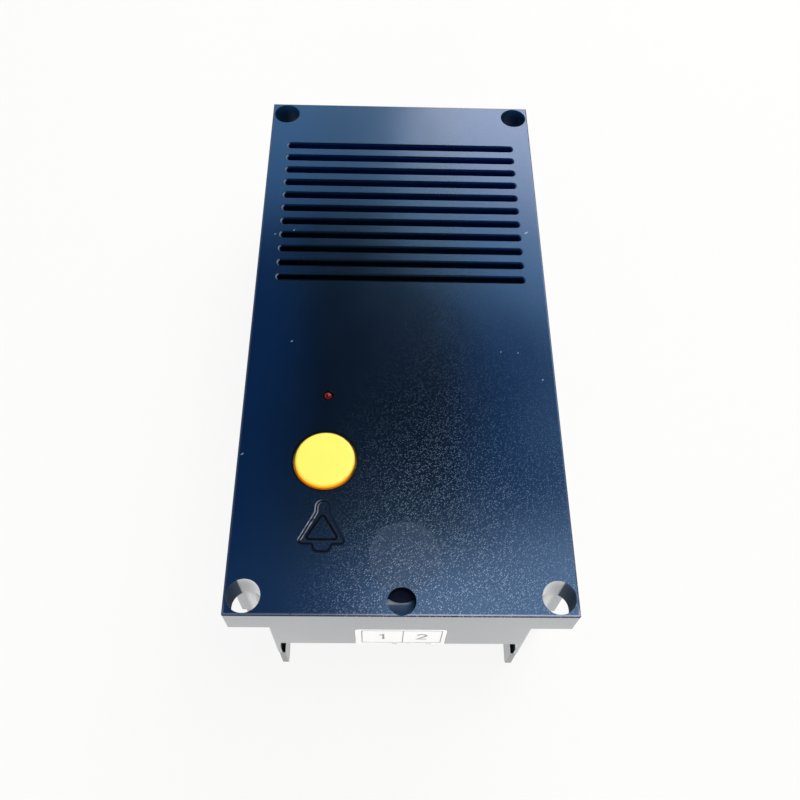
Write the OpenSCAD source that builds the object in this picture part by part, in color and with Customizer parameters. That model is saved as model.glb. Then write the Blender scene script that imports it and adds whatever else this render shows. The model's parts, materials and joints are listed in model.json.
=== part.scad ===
// Elevator intercom unit: a slotted face housing with an alarm button, an indicator, a loudspeaker,
// a microphone, a circuit board with wiring terminals, and a rear cover that is open for the cables.
// It lies on its rear cover with the face up. +Y runs up the face and Z = 0 is the rear of the cover.
// A "depth" is always measured from the face plate's outer surface towards the rear.

/* [Face plate] */
// Width of the face plate
panel_width = 98; // [94:1:110]
// Height of the face plate
panel_height = 200; // [196:1:220]
// Depth of the flange round the face
flange_depth = 11.5; // [9:0.5:14]
// Thickness of the face plate
face_thickness = 3; // [2.6:0.1:3.6]
// Radius on the rim and upright corners of the face
edge_radius = 0.5; // [0.3:0.1:0.9]

/* [Mounting holes] */
// Diameter of the four corner holes
mount_hole_diameter = 9.5; // [7:0.5:10]
// Distance of a corner hole's axis from both edges
mount_hole_inset = 5.5; // [5.3:0.1:6.5]
// Space between a corner hole and the body's end walls behind it
notch_gap = 0.25; // [0.2:0.05:1]
// Space between a corner hole and the body's side walls behind it
notch_side_gap = 1.25; // [0.5:0.05:2]

/* [Body] */
// Total depth of the unit, without the button
overall_depth = 54; // [49:0.5:60]
// Step from the flange's sides in to the body's sides
side_step = 0.6; // [0.2:0.1:1.2]
// Wall thickness of the front housing
wall_thickness = 1.6; // [1.4:0.1:2]
// Radius on the upright corners of the body
body_corner_radius = 0.8; // [0.4:0.1:1.2]
// Depth of the front housing's rear rim
rim_depth = 30; // [29:0.5:32]
// Depth of the lower end wall's edge above the cable entry
entry_edge_depth = 28.5; // [27:0.5:29]
// Depth of the two cheeks beside the cable entry
cheek_depth = 40; // [36:0.5:44]

/* [Rear cover] */
// Step from the housing's walls in to the cover's walls
cover_step = 0.65; // [0.4:0.05:1]
// Step from the housing's end walls in to the cover's at the corner notches
cover_end_step = 1.4; // [0.8:0.1:1.5]
// Radius on the cover's rear edges
rear_edge_radius = 1.5; // [0.5:0.1:1.8]
// Wall thickness of the rear cover
cover_wall = 1.8; // [1.6:0.1:2.2]
// Floor thickness of the rear cover
cover_floor = 2; // [1.6:0.1:2.6]
// Length of floor that is left open for the cables
entry_floor_length = 11.5; // [9:0.5:14]
// Radius at the tips of the two legs beside the cable entry
leg_tip_radius = 2; // [1:0.5:4]
// Length of one locating tab inside the housing's side walls
tab_length = 24; // [12:1:30]
// Height of a locating tab above the rim
tab_height = 4; // [2:0.5:6]
// Thickness of a locating tab
tab_thickness = 1.2; // [1:0.1:1.6]
// Space between a locating tab and the wall
tab_gap = 0.25; // [0.15:0.05:0.4]

/* [Speaker grille] */
// Number of slots
slot_count = 11; // [7:1:11]
// Distance of the slots' ends from the sides of the face
slot_side_inset = 6.9; // [6:0.1:12]
// Width of a slot
slot_width = 2.5; // [2:0.1:3]
// Distance from slot to slot
slot_pitch = 6.2; // [5.4:0.1:6.4]
// Distance from the upper edge of the face to the first slot
first_slot_inset = 22.3; // [21.5:0.1:24]
// Bevel along the mouth of a slot
slot_bevel = 0.4; // [0.2:0.05:0.6]

/* [Alarm button] */
// Diameter of the button cap
button_diameter = 18; // [15:0.5:20]
// Radial space round the cap in its hole
button_gap = 0.55; // [0.4:0.05:0.8]
// Sideways place of the button's axis
button_x = -22.8; // [-24:0.1:-18]
// Height of the button's axis above the lower edge of the face
button_height = 46.8; // [44:0.1:50]
// How far the cap stands out of the face
button_proud = 1.3; // [1:0.1:3]
// Radius on the cap's upper edge
button_edge_radius = 1.1; // [0.5:0.1:1.5]
// Travel of the button when it is pressed
button_travel = 1.5; // [1:0.1:2]
// Wall of the hollow cap
button_wall = 2; // [1.6:0.1:2.4]
// Width of the collar that keeps the cap in the housing
button_collar = 1.8; // [1.4:0.1:2.4]
// Thickness of that collar
button_collar_thickness = 1.2; // [1:0.1:1.6]
// Space between the collar and the face plate
button_collar_gap = 0.3; // [0.2:0.05:0.5]
// Diameter of the stem inside the cap
stem_diameter = 6; // [5:0.5:7]
// Depth of the stem's lower end at rest
stem_depth = 13; // [11:0.5:13.5]
// Diameter of the switch's own plunger
plunger_diameter = 3.6; // [3:0.1:4]
// Length of the plunger that sits in the stem
plunger_socket = 3; // [2:0.5:4]
// Depth of the plunger's lower end at rest
plunger_depth = 20; // [18:0.5:21]
// Space round the plunger in the stem
plunger_fit_gap = 0.1; // [0.05:0.05:0.2]
// Space round the plunger in the switch
plunger_slide_gap = 0.4; // [0.3:0.05:0.5]
// Space left under the plunger when the button is pressed
plunger_end_gap = 0.8; // [0.4:0.1:1.2]
// Side of the square switch body
switch_side = 13; // [11:0.5:15]
// Radius on the switch body's corners
switch_corner_radius = 1; // [0.5:0.1:1.5]
// Depth of the switch body's upper face
switch_depth = 16; // [15.5:0.5:17]
// Wire diameter of the return spring
spring_wire = 0.8; // [0.6:0.1:1]
// Coil radius of the return spring, to the middle of its wire
spring_radius = 5.2; // [4.6:0.1:5.6]
// Number of turns of the return spring
spring_turns = 6; // [4:1:7]
// Space at both ends of the return spring
spring_end_gap = 0.05; // [0.02:0.01:0.2]

/* [Indicator] */
// Diameter of the indicator lamp
led_diameter = 3; // [3:0.1:4]
// Radial space round the lamp in its hole
led_gap = 0.25; // [0.15:0.05:0.4]
// Distance of the lamp above the button's axis
led_above_button = 22.45; // [20:0.05:26]
// How far the lamp's dome stands out of the face
led_proud = 0.4; // [0.2:0.1:1]
// Length of the lamp from dome to base
led_length = 5.3; // [5:0.1:6]
// Width of the ring round the lamp's base
led_ring = 0.4; // [0.3:0.1:0.6]
// Thickness of that ring
led_ring_thickness = 1; // [0.8:0.1:1.2]
// Wire diameter of the lamp's two leads
led_lead = 0.5; // [0.4:0.05:0.6]
// Distance between the lamp's two leads
led_lead_pitch = 1.5; // [1.3:0.1:1.8]
// Wall of the spacer tube under the lamp
led_spacer_wall = 0.7; // [0.5:0.1:0.8]

/* [Microphone] */
// Diameter of the sound port in the face
port_diameter = 8; // [6:0.5:8]
// Distance of the port's axis from the lower edge of the face
port_inset = 4.25; // [4.2:0.05:5.5]
// Depth of the ledge inside the port
port_ledge_depth = 2.6; // [2.2:0.1:2.8]
// Diameter of the pocket behind the port
pocket_diameter = 13; // [12:0.5:15]
// Distance of the pocket's axis from the lower edge of the face
pocket_inset = 11; // [10.5:0.1:11.5]
// Depth of the pocket's closed upper end
pocket_roof_depth = 2; // [1.6:0.1:2.2]
// Depth of the pocket's open rear end
pocket_end_depth = 12; // [11:0.5:15]
// Wall round the pocket
pocket_wall = 1.5; // [1.2:0.1:2]
// Diameter of the microphone capsule
capsule_diameter = 9.7; // [8:0.1:9.8]
// Height of the microphone capsule
capsule_height = 6.7; // [5:0.1:7]
// Radial space of the soft boot in the pocket and round the capsule
boot_gap = 0.12; // [0.08:0.02:0.2]
// Thickness of the boot's lip in front of the capsule
boot_lip = 1.5; // [1:0.1:2]
// Opening in the boot's lip
boot_opening = 6; // [4:0.5:7]
// Wire diameter of the microphone's two leads
microphone_lead = 0.7; // [0.5:0.1:1]
// Distance between the microphone's two leads
microphone_lead_pitch = 2.5; // [2:0.1:4]

/* [Blank mark] */
// Diameter of the shallow round mark on the face
mark_diameter = 20.5; // [16:0.5:21]
// Sideways place of the mark
mark_x = 0.9; // [-2:0.1:2]
// Height of the mark's middle above the lower edge of the face
mark_height = 17.4; // [16:0.1:20]
// Depth of the mark
mark_depth = 0.15; // [0.1:0.05:0.3]

/* [Marking label] */
// Width of the label
label_width = 26.4; // [20:0.2:30]
// Height of the label
label_height = 15.2; // [10:0.2:16]
// Thickness of the label
label_thickness = 0.25; // [0.2:0.05:0.4]
// Sideways place of the label's middle
label_x = 0.2; // [-2:0.1:2]
// Space round the label in its recess
label_gap = 0.1; // [0.05:0.05:0.2]
// Radius of the label's corners
label_radius = 1.2; // [0.6:0.1:2]

/* [Loudspeaker] */
// Outer diameter of the loudspeaker
speaker_diameter = 77; // [66:0.5:78]
// Thickness of the acoustic cloth
cloth_thickness = 0.5; // [0.3:0.1:1]
// How far the cloth reaches past the slots
cloth_margin = 1.2; // [0.8:0.1:1.2]
// Space between the cloth and the bosses beside it
cloth_gap = 0.3; // [0.2:0.1:0.6]
// Thickness of the foam gasket
gasket_thickness = 2; // [1.5:0.5:3]
// Width of the foam gasket
gasket_width = 2.2; // [1.6:0.1:2.2]
// Sheet thickness of the speaker frame
frame_sheet = 1; // [0.8:0.1:1.2]
// Width of the speaker frame's rim
frame_rim = 5; // [4.5:0.1:5.4]
// Depth of the basket below its rim
basket_depth = 18; // [16:0.5:20]
// Radius of the basket's floor
basket_floor_radius = 24; // [23.2:0.1:25]
// Number of windows in the basket
basket_windows = 6; // [4:1:8]
// Width of one window
window_width = 12; // [8:0.5:13]
// Length of one window along the speaker's axis
window_length = 11; // [8:0.5:12]
// Distance of the windows from the rim
window_rim_gap = 3; // [2:0.5:3.5]
// Width of the surround's rolled edge
surround_roll = 4; // [3:0.1:4.4]
// Thickness of the surround
surround_thickness = 0.5; // [0.4:0.1:0.6]
// Width of the surround's glued lips
surround_lip = 2; // [1.4:0.1:2.2]
// Thickness of the cone
cone_thickness = 0.6; // [0.5:0.1:0.8]
// Depth of the cone from edge to neck
cone_depth = 10; // [8:0.5:11]
// Radius of the dust cap's dome
cap_crown_radius = 13.8; // [11:0.2:18]
// Glue line between the voice coil, the cone, its dust cap and the spider
glue_gap = 0.04; // [0.02:0.01:0.08]
// Width of the spider's glued foot
spider_foot = 2; // [1.5:0.1:2.5]
// Space between the spider's foot and the basket's wall
spider_gap = 0.5; // [0.3:0.1:0.8]
// Number of ripples in the spider
ripple_count = 3; // [2:1:4]
// Width of one ripple
ripple_width = 1.2; // [0.8:0.1:1.6]
// Radius of the voice coil, to its inner side
coil_radius = 8.6; // [8:0.1:9]
// Thickness of the voice coil
coil_thickness = 0.6; // [0.5:0.1:0.7]
// Length of the voice coil
coil_length = 12; // [11:0.5:12.5]
// Air gap on both sides of the voice coil
coil_air_gap = 0.5; // [0.4:0.05:0.6]
// Thickness of the magnet's two pole plates
pole_plate = 3; // [2.5:0.1:4]
// Radius of the magnet ring
magnet_radius = 22.5; // [20:0.5:23]
// Thickness of the magnet ring
magnet_thickness = 10; // [8:0.5:12]
// Inner radius of the magnet ring
magnet_bore_radius = 12; // [11:0.5:13]
// Step of the pole plates inside the magnet's outline
pole_step = 0.8; // [0.4:0.1:1.5]
// Sideways place of the speaker's fixing bosses
clamp_x = 20; // [16:0.5:22]
// Distance of the speaker's fixing bosses from its rim
clamp_clearance = 0.5; // [0.4:0.1:1]
// Thickness of a speaker clamp
clamp_thickness = 1.2; // [1:0.1:1.6]
// Width of a speaker clamp
clamp_width = 8; // [7:0.5:9]
// How far a clamp reaches over the speaker's rim
clamp_reach = 3; // [2:0.1:3.5]

/* [Circuit board] */
// Depth of the board's front face
board_depth = 26; // [24:0.5:26.5]
// Thickness of the board
board_thickness = 1.6; // [1.2:0.1:2]
// Space between the board and the housing's side walls
board_side_gap = 9.8; // [9.2:0.1:12]
// Space between the board's narrow end and the walls beside it
board_end_side_gap = 3.9; // [3:0.1:8]
// Space between the board and the lower end wall
board_gap = 1; // [0.5:0.1:1.5]
// Space between the board and the loudspeaker's rim
board_speaker_gap = 6; // [5:0.5:8]
// Distance of the upper posts from the board's upper edge
upper_post_inset = 6; // [5:0.5:10]
// Distance of the lower posts from the board's wide end
lower_post_inset = 8; // [6:0.5:10]
// Distance of the posts from the board's sides
post_side_inset = 5; // [4.5:0.5:6]

/* [Bosses and screws] */
// Diameter of the posts and bosses
boss_diameter = 7; // [6.5:0.1:7.4]
// Shank diameter of the screws
screw_diameter = 2.9; // [2.5:0.1:3]
// Head diameter of the screws
screw_head_diameter = 5.6; // [5:0.1:5.8]
// Head height of the screws
screw_head_height = 2; // [1.6:0.1:2.4]
// Length of the cross recess in a screw head
recess_length = 3.4; // [3:0.1:4]
// Width of the cross recess in a screw head
recess_width = 0.8; // [0.6:0.1:1]
// Depth of the cross recess in a screw head
recess_depth = 1; // [0.8:0.1:1.2]
// Radial space of a screw in its boss
screw_gap = 0.06; // [0.04:0.01:0.1]
// Radial space of a screw in what it clamps
screw_free_gap = 0.25; // [0.2:0.05:0.4]
// Radial space round a screw head in its well
well_gap = 0.4; // [0.3:0.05:0.6]
// Length of a short screw
short_screw = 8; // [6:0.5:10]
// Length of a cover screw
cover_screw = 16; // [14:0.5:20]
// Length of a speaker clamp screw
clamp_screw = 3.6; // [3:0.1:4]
// Space beyond the tip of a screw
screw_tip_gap = 0.8; // [0.4:0.1:1]
// Diameter of the rear cover's screw posts
cover_post_diameter = 9; // [8.6:0.1:9.6]
// Depth where the housing's bosses meet the cover's posts
cover_joint_depth = 34; // [32:0.5:36]
// Length of the cover's post under a screw head
cover_post_seat = 6; // [4:0.5:8]
// Distance of the cover screws from the housing's side walls
cover_boss_side_inset = 5; // [4.8:0.1:5.6]
// Distance of the cover screws from the ends of the wide body
cover_boss_end_inset = 7.2; // [7:0.1:7.8]
// Thickness of the ribs that tie the bosses to the walls
boss_rib = 1.2; // [1:0.1:1.6]

/* [Terminals] */
// Width of one terminal block
terminal_width = 10.1; // [9:0.1:10.2]
// Length of one terminal block
terminal_length = 10; // [9:0.5:12]
// Height of one terminal block
terminal_height = 11.9; // [10:0.1:12]
// Sideways place of the middle between the two blocks
terminal_x = -0.1; // [-1:0.1:1]
// Space between the two blocks
terminal_gap = 0.5; // [0.3:0.1:1]
// Space between the blocks and the lower end wall
terminal_wall_gap = 1.9; // [1.6:0.1:3]
// Side of a square wire opening
wire_opening = 3.4; // [3:0.1:3.6]
// Distance of a wire opening from the board
wire_opening_lift = 2; // [1.5:0.1:3]
// Depth of a wire opening
wire_opening_depth = 6; // [4:0.5:7]
// Diameter of a terminal screw
terminal_screw_diameter = 3; // [2.6:0.1:3.2]
// Height of a terminal screw
terminal_screw_height = 2.4; // [2:0.1:3]
// Space round a terminal screw
terminal_screw_gap = 0.2; // [0.1:0.05:0.3]
// Width of the slot in a terminal screw
terminal_slot_width = 0.6; // [0.5:0.1:0.8]
// Depth of the slot in a terminal screw
terminal_slot_depth = 1.1; // [0.8:0.1:1.4]
// How deep a terminal screw lies in its well
terminal_well = 1.2; // [0.8:0.1:2]
// Width of the coding lug at the right end of a block
lug_width = 1.6; // [1:0.1:2]
// How far the coding lug stands out of a block
lug_reach = 0.8; // [0.4:0.1:1]

/* [Board parts] */
// Sideways place of the controller chip
controller_x = 18; // [12:0.5:20]
// Space between the filter capacitors and the controller chip
controller_gap = 6; // [3:0.5:10]
// Sideways place of the amplifier chip
amplifier_x = -15; // [-18:0.5:-12]
// Distance of the amplifier chip below the upper posts
amplifier_drop = 7; // [4:0.5:9]
// Sideways place of the first filter capacitor
capacitor_x = 5; // [4:0.5:6]
// Distance of the filter capacitors below the upper posts
capacitor_drop = 8; // [6:0.5:9]
// Sideways place of the line transformer
transformer_x = 15; // [12:0.5:16]
// Side of the controller chip
chip_side = 12; // [8:0.5:14]
// Length of the amplifier chip
amplifier_length = 16; // [12:0.5:18]
// Width of the amplifier chip
amplifier_width = 7; // [6:0.5:8]
// Thickness of both chips
chip_thickness = 2.2; // [1.6:0.1:3]
// Space between the chips and the board
chip_standoff = 0.4; // [0.2:0.1:0.6]
// Distance between the pins of a chip
pin_pitch = 1.27; // [1:0.01:1.6]
// Width of a pin
pin_width = 0.5; // [0.4:0.05:0.6]
// How far a pin reaches out of its chip
pin_reach = 1.6; // [1.2:0.1:2]
// Diameter of a filter capacitor
capacitor_diameter = 8; // [6:0.5:9]
// Height of a filter capacitor
capacitor_height = 12; // [10:0.5:16]
// Number of filter capacitors
capacitor_count = 3; // [2:1:3]
// Distance from capacitor to capacitor
capacitor_pitch = 10; // [9.5:0.5:11]
// Width of the line transformer
transformer_width = 20; // [16:0.5:22]
// Length of the line transformer
transformer_length = 17; // [14:0.5:18]
// Height of the line transformer
transformer_height = 15; // [12:0.5:17]
// Width of the core's limbs
core_limb = 4; // [3:0.1:4.2]
// Distance of the core from both ends of the winding
core_lift = 3; // [2:0.5:4]
// Space between the terminals and the line transformer
transformer_gap = 4; // [2:0.5:6]
// Width of the speaker header
header_width = 8; // [7:0.5:10]
// Length of the speaker header
header_length = 6; // [5:0.5:7]
// Height of the speaker header
header_height = 8; // [6:0.5:9]
// Distance of the speaker header from the board's upper edge
header_edge_gap = 1; // [0.5:0.5:2]
// Diameter of a speaker lead
speaker_lead = 1.4; // [1:0.1:1.8]
// Distance between the two speaker leads
speaker_lead_pitch = 4; // [3:0.1:5]
// Width of the speaker's tag strip
tag_strip_width = 14; // [10:0.5:16]
// Height of the speaker's tag strip
tag_strip_height = 2.4; // [2:0.1:2.6]
// Thickness of the speaker's tag strip
tag_strip_thickness = 1.5; // [1:0.1:2]

/* [Hidden] */
$fn = 64;
// Sides of the spring's wire and rings in one turn
spring_sides = 6;
spring_rings = 10;
// Overlap of cuts and of joined shapes
tip = 0.5;

notch_length = mount_hole_inset + mount_hole_diameter / 2 + notch_gap;
body_width = panel_width - 2 * side_step;
end_body_width = panel_width - 2 * (mount_hole_inset + mount_hole_diameter / 2 + notch_side_gap);
wide_half = panel_height / 2 - notch_length;
end_half = end_body_width / 2;
lower_end = -panel_height / 2;
inner_half = body_width / 2 - wall_thickness;

mount_x = panel_width / 2 - mount_hole_inset;
mount_y = panel_height / 2 - mount_hole_inset;

slot_length = panel_width - 2 * slot_side_inset;
first_slot_y = panel_height / 2 - first_slot_inset;
slots_span = slot_pitch * (slot_count - 1);
speaker_y = first_slot_y - slots_span / 2;

button_y = lower_end + button_height;
button_radius = button_diameter / 2;
button_hole_radius = button_radius + button_gap;
collar_depth = face_thickness + button_collar_gap;
cap_roof_depth = button_wall - button_proud;

led_y = button_y + led_above_button;
led_hole_radius = led_diameter / 2 + led_gap;
led_base_depth = led_length - led_proud;

port_y = lower_end + port_inset;
pocket_y = lower_end + pocket_inset;
pocket_radius = pocket_diameter / 2;
boot_radius = pocket_radius - boot_gap;
boot_roof_depth = pocket_roof_depth + boot_gap;
capsule_depth = boot_roof_depth + boot_lip;
capsule_end_depth = capsule_depth + capsule_height;
mark_y = lower_end + mark_height;

speaker_radius = speaker_diameter / 2;
cloth_depth = face_thickness;
gasket_depth = cloth_depth + cloth_thickness;
frame_depth = gasket_depth + gasket_thickness;
rim_rear_depth = frame_depth + frame_sheet;
basket_floor_depth = rim_rear_depth + basket_depth;
rim_inner_radius = speaker_radius - frame_rim;
roll_radius = surround_roll / 2;
roll_middle_radius = rim_inner_radius - roll_radius - tip;
cone_edge_radius = roll_middle_radius - roll_radius;
cone_neck_radius = coil_radius + coil_thickness + glue_gap;
cone_edge_depth = frame_depth + surround_thickness;
neck_depth = cone_edge_depth + cone_depth;
coil_depth = neck_depth;
top_plate_depth = basket_floor_depth + frame_sheet;
magnet_depth = top_plate_depth + pole_plate;
yoke_depth = magnet_depth + magnet_thickness;
pole_radius = coil_radius - coil_air_gap;
plate_bore_radius = coil_radius + coil_thickness + coil_air_gap;
plate_radius = magnet_radius - pole_step;
clamp_radius = speaker_radius + clamp_clearance + boss_diameter / 2;
clamp_dy = sqrt(clamp_radius * clamp_radius - clamp_x * clamp_x);

board_rear_depth = board_depth + board_thickness;
board_top = speaker_y - speaker_radius - board_speaker_gap;
board_bottom = lower_end + wall_thickness + board_gap;
board_step_y = -wide_half + wall_thickness + board_gap;
board_width = 2 * (inner_half - board_side_gap);
board_end_width = 2 * (end_half - wall_thickness - board_end_side_gap);
post_x = board_width / 2 - post_side_inset;
upper_post_y = board_top - upper_post_inset;
lower_post_y = board_step_y + lower_post_inset;

boss_radius = boss_diameter / 2;
pilot_radius = screw_diameter / 2 + screw_gap;
free_radius = screw_diameter / 2 + screw_free_gap;
well_radius = screw_head_diameter / 2 + well_gap;
cover_boss_x = inner_half - cover_boss_side_inset;
cover_boss_y = wide_half - cover_boss_end_inset;
cover_seat_depth = cover_joint_depth + cover_post_seat;
tab_y = wide_half / 2 - tab_length / 2;

cheek_inner_half = end_half - wall_thickness;
leg_outer_half = end_half - cover_step;
leg_inner_half = leg_outer_half - cover_wall;

terminal_front = lower_end + wall_thickness + terminal_wall_gap;
terminal_middle = terminal_front + terminal_length / 2;
terminal_pole = terminal_width / 4;
terminal_step = (terminal_width + terminal_gap) / 2;
transformer_y = terminal_front + terminal_length + transformer_gap + transformer_length / 2;
label_bottom_depth = entry_edge_depth - label_gap;
label_top_depth = label_bottom_depth - label_height;

capacitor_y = upper_post_y - capacitor_drop;
controller_y = capacitor_y - capacitor_diameter / 2 - controller_gap - pin_reach - chip_side / 2;
tag_y = speaker_y - speaker_radius + frame_rim / 2;
header_y = board_top - header_length / 2 - header_edge_gap;
header_depth = board_depth - header_height;
lead_depth = board_depth - header_height / 2;

// Height above the rear for a depth behind the face
function level(depth) = overall_depth - depth;

// A flat shape that fills the depths between from and to
module layer(from, to) {
  translate([0, 0, level(to)]) linear_extrude(to - from) children();
}

// A round bar along Z between two depths
module bar(x, y, from, to, radius) {
  translate([x, y, level(to)]) cylinder(h = to - from, r = radius);
}

// Places a revolved shape, drawn as radius and height, on an upright axis
module turned(x, y) {
  translate([x, y, 0]) rotate_extrude() children();
}

// A ring for turned shapes, between two radii and two depths
module ring(inner, outer, from, to) {
  translate([inner, level(to)]) square([outer - inner, to - from]);
}

module rounded_rect(w, h, r) {
  square([w - 2 * r, h], center = true);
  square([w, h - 2 * r], center = true);
  for (sx = [-1, 1], sy = [-1, 1])
    translate([sx * (w / 2 - r), sy * (h / 2 - r)]) circle(r);
}

// Outline of the body between the corner notches, drawn in by inset and, at the notches, by end_inset
module body_outline(inset, end_inset, r) {
  rounded_rect(body_width - 2 * inset, 2 * (wide_half - end_inset), r);
  rounded_rect(end_body_width - 2 * inset, panel_height - 2 * inset, r);
}

// Side view of a block that has its two upper edges rounded
module edged_profile(w, height, r) {
  translate([-w / 2, 0]) square([w, height - r]);
  translate([-w / 2 + r, 0]) square([w - 2 * r, height]);
  for (sx = [-1, 1]) translate([sx * (w / 2 - r), height - r]) circle(r);
}

// A block with rounded upright corners and a rounded upper rim
module edged_block(w, h, height, corner_r, rim_r) {
  intersection() {
    linear_extrude(height) rounded_rect(w, h, corner_r);
    translate([0, h / 2, 0]) rotate([90, 0, 0]) linear_extrude(h) edged_profile(w, height, rim_r);
    translate([-w / 2, 0, 0]) rotate([90, 0, 90]) linear_extrude(w) edged_profile(h, height, rim_r);
  }
}

module at_cover_bosses() {
  for (sx = [-1, 1], sy = [-1, 1]) translate([sx * cover_boss_x, sy * cover_boss_y, 0]) children();
}

module at_board_posts() {
  for (sx = [-1, 1], y = [lower_post_y, upper_post_y]) translate([sx * post_x, y, 0]) children();
}

module at_clamps() {
  for (sx = [-1, 1], sy = [-1, 1]) translate([sx * clamp_x, speaker_y + sy * clamp_dy, 0]) children();
}

// A screw whose head sits at seat and whose shank runs towards the face
module screw(seat, length) {
  bar(0, 0, seat - length, seat, screw_diameter / 2);
  difference() {
    bar(0, 0, seat, seat + screw_head_height, screw_head_diameter / 2);
    for (turn = [0, 90])
      rotate(turn) translate([0, 0, level(seat + screw_head_height)])
        cube([recess_length, recess_width, 2 * recess_depth], center = true);
  }
}

// Front housing

// One through slot with a bevelled mouth
module slot() {
  straight = slot_length - slot_width;
  mouth = slot_width / 2 + slot_bevel;
  layer(-tip, face_thickness + tip) {
    square([straight, slot_width], center = true);
    for (sx = [-1, 1]) translate([sx * straight / 2, 0]) circle(slot_width / 2);
  }
  translate([-straight / 2, 0, level(0)]) rotate([90, 0, 90]) linear_extrude(straight)
    polygon([[-mouth, 0], [-slot_width / 2, -slot_bevel], [slot_width / 2, -slot_bevel], [mouth, 0]]);
  for (sx = [-1, 1]) translate([sx * straight / 2, 0, level(slot_bevel)])
    cylinder(h = slot_bevel, r1 = slot_width / 2, r2 = mouth);
}

module corner_holes() {
  for (sx = [-1, 1], sy = [-1, 1])
    bar(sx * mount_x, sy * mount_y, -tip, flange_depth + tip, mount_hole_diameter / 2);
}

module boss(from, to, hole_length) {
  difference() {
    bar(0, 0, from - tip, to, boss_radius);
    bar(0, 0, to - hole_length, to + tip, pilot_radius);
  }
}

// Boss for a cover screw, tied to the side wall by a rib
module cover_boss(side) {
  rib_reach = cover_boss_side_inset + wall_thickness / 2;
  boss(face_thickness, cover_joint_depth, cover_screw - cover_post_seat + screw_tip_gap);
  layer(face_thickness - tip, rim_depth - tab_height) difference() {
    translate([side > 0 ? 0 : -rib_reach, -boss_rib / 2]) square([rib_reach, boss_rib]);
    circle(boss_radius - boss_rib / 2);
  }
}

// Walls round the microphone pocket, joined to the lower end wall
module pocket_walls() {
  half = pocket_radius + pocket_wall;
  layer(face_thickness - tip, pocket_end_depth) {
    translate([0, pocket_y]) circle(half);
    translate([-half, lower_end + wall_thickness / 2])
      square([2 * half, pocket_inset - wall_thickness / 2]);
  }
}

module front_housing() color([0.08, 0.09, 0.15]) {
  difference() {
    union() {
      difference() {
        union() {
          translate([0, 0, level(flange_depth)])
            edged_block(panel_width, panel_height, flange_depth, edge_radius, edge_radius);
          layer(flange_depth / 2, rim_depth) body_outline(0, 0, body_corner_radius);
          layer(rim_depth - tip, cheek_depth) intersection() {
            body_outline(0, 0, body_corner_radius);
            for (sx = [-1, 1])
              translate([sx * (end_half - wall_thickness / 2), lower_end + notch_length / 2])
                square([wall_thickness, notch_length], center = true);
          }
        }
        layer(face_thickness, rim_depth + tip)
          body_outline(wall_thickness, wall_thickness, body_corner_radius / 2);
        layer(entry_edge_depth, cheek_depth + tip)
          translate([-cheek_inner_half, lower_end - tip])
            square([2 * cheek_inner_half, wall_thickness + 2 * tip]);
      }
      pocket_walls();
      for (sx = [-1, 1], sy = [-1, 1])
        translate([sx * cover_boss_x, sy * cover_boss_y, 0]) cover_boss(sx);
      at_board_posts() boss(face_thickness, board_depth, short_screw - board_thickness + screw_tip_gap);
      at_clamps() boss(face_thickness, rim_rear_depth, clamp_screw - clamp_thickness + screw_tip_gap);
    }
    corner_holes();
    for (i = [0 : slot_count - 1]) translate([0, first_slot_y - i * slot_pitch, 0]) slot();
    bar(button_x, button_y, -tip, face_thickness + tip, button_hole_radius);
    bar(button_x, led_y, -tip, face_thickness + tip, led_hole_radius);
    bar(0, port_y, -tip, port_ledge_depth, port_diameter / 2);
    bar(0, pocket_y, pocket_roof_depth, pocket_end_depth + tip, pocket_radius);
    bar(mark_x, mark_y, -tip, mark_depth, mark_diameter / 2);
    layer(label_top_depth - label_gap, cheek_depth)
      translate([label_x - label_width / 2 - label_gap, lower_end - tip])
        square([label_width + 2 * label_gap, label_thickness + tip]);
  }
}

// Rear cover

// One side wall beside the cable entry, with a rounded tip
module leg(side) {
  length = notch_length + cover_end_step + rear_edge_radius;
  height = overall_depth - cheek_depth;
  r = leg_tip_radius;
  translate([side > 0 ? leg_inner_half : -leg_outer_half, lower_end, 0])
    rotate([90, 0, 90]) linear_extrude(cover_wall) {
      translate([r, 0]) square([length - r, height]);
      translate([0, r]) square([length, height - r]);
      translate([r, r]) circle(r);
    }
}

// A locating tab that stands up inside the housing's side wall
module tab(side, y) {
  outer = inner_half - tab_gap;
  layer(rim_depth - tab_height, rim_depth + tab_height)
    translate([side > 0 ? outer - tab_thickness : -outer, y - tab_length / 2])
      square([tab_thickness, tab_length]);
}

// A block behind the rim with rounded rear edges
module cover_block(w, h) {
  translate([0, 0, level(rim_depth)]) mirror([0, 0, 1])
    edged_block(w, h, overall_depth - rim_depth, body_corner_radius, rear_edge_radius);
}

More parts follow.
